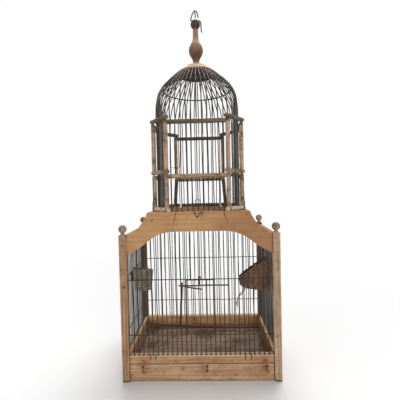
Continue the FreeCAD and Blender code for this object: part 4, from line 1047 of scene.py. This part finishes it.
def wickerFinish(label, pale, dark, dusty):
    material, shader, coords = blankFinish(label)
    grain = grouped(
        material.node_tree, pineGrain, vector=coords.vector("MULTIPLY", wickerLook["grain"]), pale=pale,
        dark=dark, ringGap=wickerLook["ringGap"])
    rounds = coords.vector("MULTIPLY", wickerLook["rounds"])  # each round has its own tone
    cane = rounds.noise(wickerLook["roundScale"], 2.0)
    darker = mixed(0.5, grain["colour"], dark)
    colour = mixed(cane.ranged(*wickerLook["roundRange"]), grain["colour"], darker)
    dust = coords.noise(wickerLook["dustScale"], 6.0, 0.7).ranged(*wickerLook["dustRange"])
    colour = mixed(dust * wickerLook["dustAmount"], colour, dusty)
    rough = cane.ranged(*wickerLook["roughRange"], wickerLook["rough"])
    coat(shader, colour, rough, wickerLook["gloss"], grain["height"], wickerLook["bump"])
    return material


def keptRuns(points, inside):  # cuts a round where it leaves the basket
    runs = [[]]
    for point in points:
        if inside(point):
            runs[-1].append(point)
        else:
            runs.append([])
    return [run for run in runs if len(run) > 2]


weave = dict(
    perStake=4, perRim=6, baseSteps=40, sway=0.0004, swayWaves=3, baseLift=0.0009, baseWaves=9,
    basePhase=900, baseStart=1.2, baseGap=0.95, rimTwist=0.8, rimDrop=0.6, rimTurns=3, stakeSteps=4,
    trials=4)


def basketRuns(shape):  # rounds woven in and out of stakes, cut by the sloping rim
    toward, cane, low, stakes = shape["toward"], shape["strand"], shape["low"], shape["stakes"]
    centreX, centreY = shape["centre"]
    inset = cane + shape["wave"]
    tall = shape["backTop"] - low
    wallX = shape["wallX"]
    lipX = centreX - toward * shape["topRadius"]
    slope = (shape["backTop"] - shape["lipTop"]) / abs(wallX - lipX) / math.cos(shape["tilt"])

    def rimAt(point):  # the rim climbs to the wall and to the front
        rise = slope * abs(point.x - lipX) - math.tan(shape["tilt"]) * (point.y - centreY)
        return min(shape["backTop"], shape["lipTop"] + rise)

    def inRoom(point):
        return toward * (point.x - (wallX - toward * inset)) <= 0

    def wallPoint(angle, height, push):  # round, but flat where it hangs on the side wires
        part = (height - low) / tall
        radius = shape["bottomRadius"] + (shape["topRadius"] - shape["bottomRadius"]) * part - inset + push
        point = Vector((centreX + radius * math.cos(angle), centreY + radius * math.sin(angle), height))
        if not inRoom(point):
            point.x = wallX - toward * (inset - push)
        return point

    def topAt(angle):
        top = shape["lipTop"]
        for trial in range(weave["trials"]):
            top = rimAt(wallPoint(angle, top, 0))
        return top

    runs, steps = [], stakes * weave["perStake"]
    for level in range(int(tall / shape["pitch"])):
        height = low + cane + level * shape["pitch"]
        points = []
        for step in range(steps + 1):
            angle = step * math.tau / steps
            wave = math.sin(stakes / 2 * angle + level * math.pi) * shape["wave"]
            sway = weave["sway"] * math.sin(weave["swayWaves"] * angle + level)
            points.append(wallPoint(angle, height + sway, wave))
        runs += keptRuns(points, lambda point: point.z < rimAt(point) - cane)
    for stake in range(stakes):
        angle = (stake + 0.5) * math.tau / stakes
        foot, top, parts = low + cane, topAt(angle), weave["stakeSteps"]
        runs.append([wallPoint(angle, foot + (top - foot) * k / parts, 0) for k in range(parts + 1)])
    radius = cane * weave["baseStart"]
    while radius < shape["bottomRadius"] - inset:  # the base, round by round
        points = []
        for step in range(weave["baseSteps"] + 1):
            angle = step * math.tau / weave["baseSteps"]
            lift = 1 + math.sin(weave["baseWaves"] * angle + radius * weave["basePhase"])
            spot = onCircle(step, weave["baseSteps"], radius, low + cane + weave["baseLift"] * lift)
            points.append(spot + Vector((centreX, centreY, 0)))
        runs += keptRuns(points, inRoom)
        radius += shape["pitch"] * weave["baseGap"]
    steps = stakes * weave["perRim"]
    for twist in (0.0, math.pi):  # two canes twisted along the rim
        run = []
        for step in range(steps + 1):
            angle = step * math.tau / steps
            turn = angle * stakes / weave["rimTurns"] + twist
            lift = cane * (weave["rimTwist"] * math.sin(turn) - weave["rimDrop"])
            push = cane * weave["rimTwist"] * math.cos(turn)
            run.append(wallPoint(angle, topAt(angle) + lift, push))
        runs.append(run)
    return runs, wallPoint


baskets = {
    "nest_pocket": dict(
        label="nestWicker", toward=1, wallX=0.19775, centre=(0.16575, -0.04), low=0.2275, backTop=0.308,
        lipTop=0.25, tilt=0.2618, bottomRadius=0.0535, topRadius=0.056, strand=0.00155, wave=0.0011,
        pitch=0.0029, stakes=32, loose=46, pale=tint("a28068"), dark=tint("503a2e"),
        dusty=tint("907867")),
    "seed_cup": dict(
        label="cupWicker", toward=-1, wallX=-0.19775, centre=(-0.16675, -0.05), low=0.222, backTop=0.285,
        lipTop=0.277, tilt=0.2618, bottomRadius=0.025, topRadius=0.031, strand=0.00135, wave=0.001,
        pitch=0.0026, stakes=20, loose=14, pale=tint("aaa08e"), dark=tint("5c5347"),
        dusty=tint("aaa292")),
}
caneHand = dict(
    stepLength=0.0026, bend=0.0003, bendScale=(120.0, 120.0, 120.0), uneven=0.09, unevenScale=160.0,
    sides=6)
looseEnds = dict(
    above=0.01, sideways=0.008, drop=0.004, rise=0.007, short=0.002, long=0.005, root=0.001, kneeOut=0.6,
    kneeLean=0.4, clear=0.5, slack=0.6, seed=7)
for number, (node, shape) in enumerate(baskets.items()):
    finish = wickerFinish(shape["label"] + "Cane", shape["pale"], shape["dark"], shape["dusty"])
    runs, wallPoint = basketRuns(shape)
    hand = random.Random(looseEnds["seed"] + number)
    slack = [1.0] * len(runs)
    for bit in range(shape["loose"]):  # broken ends that stand out of the weave
        angle = hand.uniform(0.0, math.tau)
        foot = wallPoint(angle, hand.uniform(shape["low"] + looseEnds["above"], shape["lipTop"]), 0.0)
        away = Vector((math.cos(angle), math.sin(angle), 0))
        if shape["toward"] * away.x > looseEnds["clear"]:  # none on the side of the wires
            continue
        lean = Vector((-away.y, away.x, 0)) * hand.uniform(-looseEnds["sideways"], looseEnds["sideways"])
        lean = lean + Vector((0, 0, hand.uniform(-looseEnds["drop"], looseEnds["rise"])))
        long = hand.uniform(looseEnds["short"], looseEnds["long"])
        knee = foot + away * long * looseEnds["kneeOut"] + lean * looseEnds["kneeLean"]
        runs.append([foot - away * looseEnds["root"], knee, foot + away * long + lean])
        slack.append(looseEnds["slack"])
    seed = strandSeeds["cane"] + number
    piece = strand(shape["label"], runs, slack, caneHand, finish, strandRadius=shape["strand"], seed=seed)
    place(piece, "cage", "wicker", node)
    print(shape["label"], "woven:", len(runs), "canes,", len(piece.data.polygons), "faces")

studio = dict(
    eye=(0.02467, -0.87499, 0.50027), yaw=0.02584, pitch=0.02927, roll=-0.02305, focal=288.0, sensor=36.0,
    pixels=400.0, near=0.01, floorHalf=6.0, floorColour=(0.85, 0.85, 0.85, 1.0), fill=0.3, lampFar=2.0)
lamps = {  # where each soft lamp stands, its strength and its spread in degrees
    "keyLamp": ((0.45, -1.0, 0.32), 1.3, 40.0), "sideLamp": ((-1.0, -0.7, 0.35), 0.5, 50.0),
    "topLamp": ((0.12, 0.42, 1.0), 2.5, 44.0),
}


def setCamera():
    yaw, pitch, roll = (studio[key] for key in ("yaw", "pitch", "roll"))
    nod = Matrix.Rotation(math.pi / 2 - pitch, 4, "X")
    turn = Matrix.Rotation(yaw, 4, "Z") @ nod @ Matrix.Rotation(roll, 4, "Z")
    data = bpy.data.cameras.new("photoCamera")
    data.sensor_fit = "HORIZONTAL"
    data.sensor_width = studio["sensor"]
    data.lens = studio["sensor"] * studio["focal"] / studio["pixels"]
    data.clip_start = studio["near"]
    camera = linked("photoCamera", data)
    camera.matrix_world = Matrix.Translation(studio["eye"]) @ turn
    bpy.context.scene.camera = camera


def setFloor():
    half = studio["floorHalf"]
    corners = [(-half, -half, 0), (half, -half, 0), (half, half, 0), (-half, half, 0)]
    mesh = bpy.data.meshes.new("paleFloor")
    mesh.from_pydata(corners, [], [(0, 1, 2, 3)])
    floor = linked("paleFloor", mesh)
    material = bpy.data.materials.new("palePaper")
    tree = emptied(material)
    plain = got(tree, "ShaderNodeBsdfDiffuse", {"Color": studio["floorColour"]})
    put(tree, "ShaderNodeOutputMaterial", {"Surface": plain})
    mesh.materials.append(material)
    floor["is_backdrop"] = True


def setLight():  # white where it is seen, dimmer as a light
    world = bpy.data.worlds.new("softStudio")
    bpy.context.scene.world = world
    tree = emptied(world)
    path = put(tree, "ShaderNodeLightPath").outputs
    camera, glossy, through = (
        Field(path["Is %s Ray" % way]) for way in ("Camera", "Glossy", "Transmission"))
    fill, bright = (
        got(tree, "ShaderNodeBackground", {"Color": white, "Strength": strength})
        for strength in (studio["fill"], 1.0))
    both = got(tree, "ShaderNodeMixShader", {0: camera.most(glossy.most(through)), 1: fill, 2: bright})
    put(tree, "ShaderNodeOutputWorld", {"Surface": both})
    for label, (source, strength, wide) in lamps.items():
        data = bpy.data.lights.new(label, "SUN")
        data.energy = strength
        data.angle = math.radians(wide)
        lamp = linked(label, data)
        lamp.rotation_euler = Vector(source).to_track_quat("Z", "Y").to_euler()
        lamp.location = Vector(source) * studio["lampFar"]


setCamera()
setFloor()
setLight()
bpy.context.scene.view_settings.view_transform = "Standard"
print("camera, floor and lamps set")

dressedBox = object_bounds()
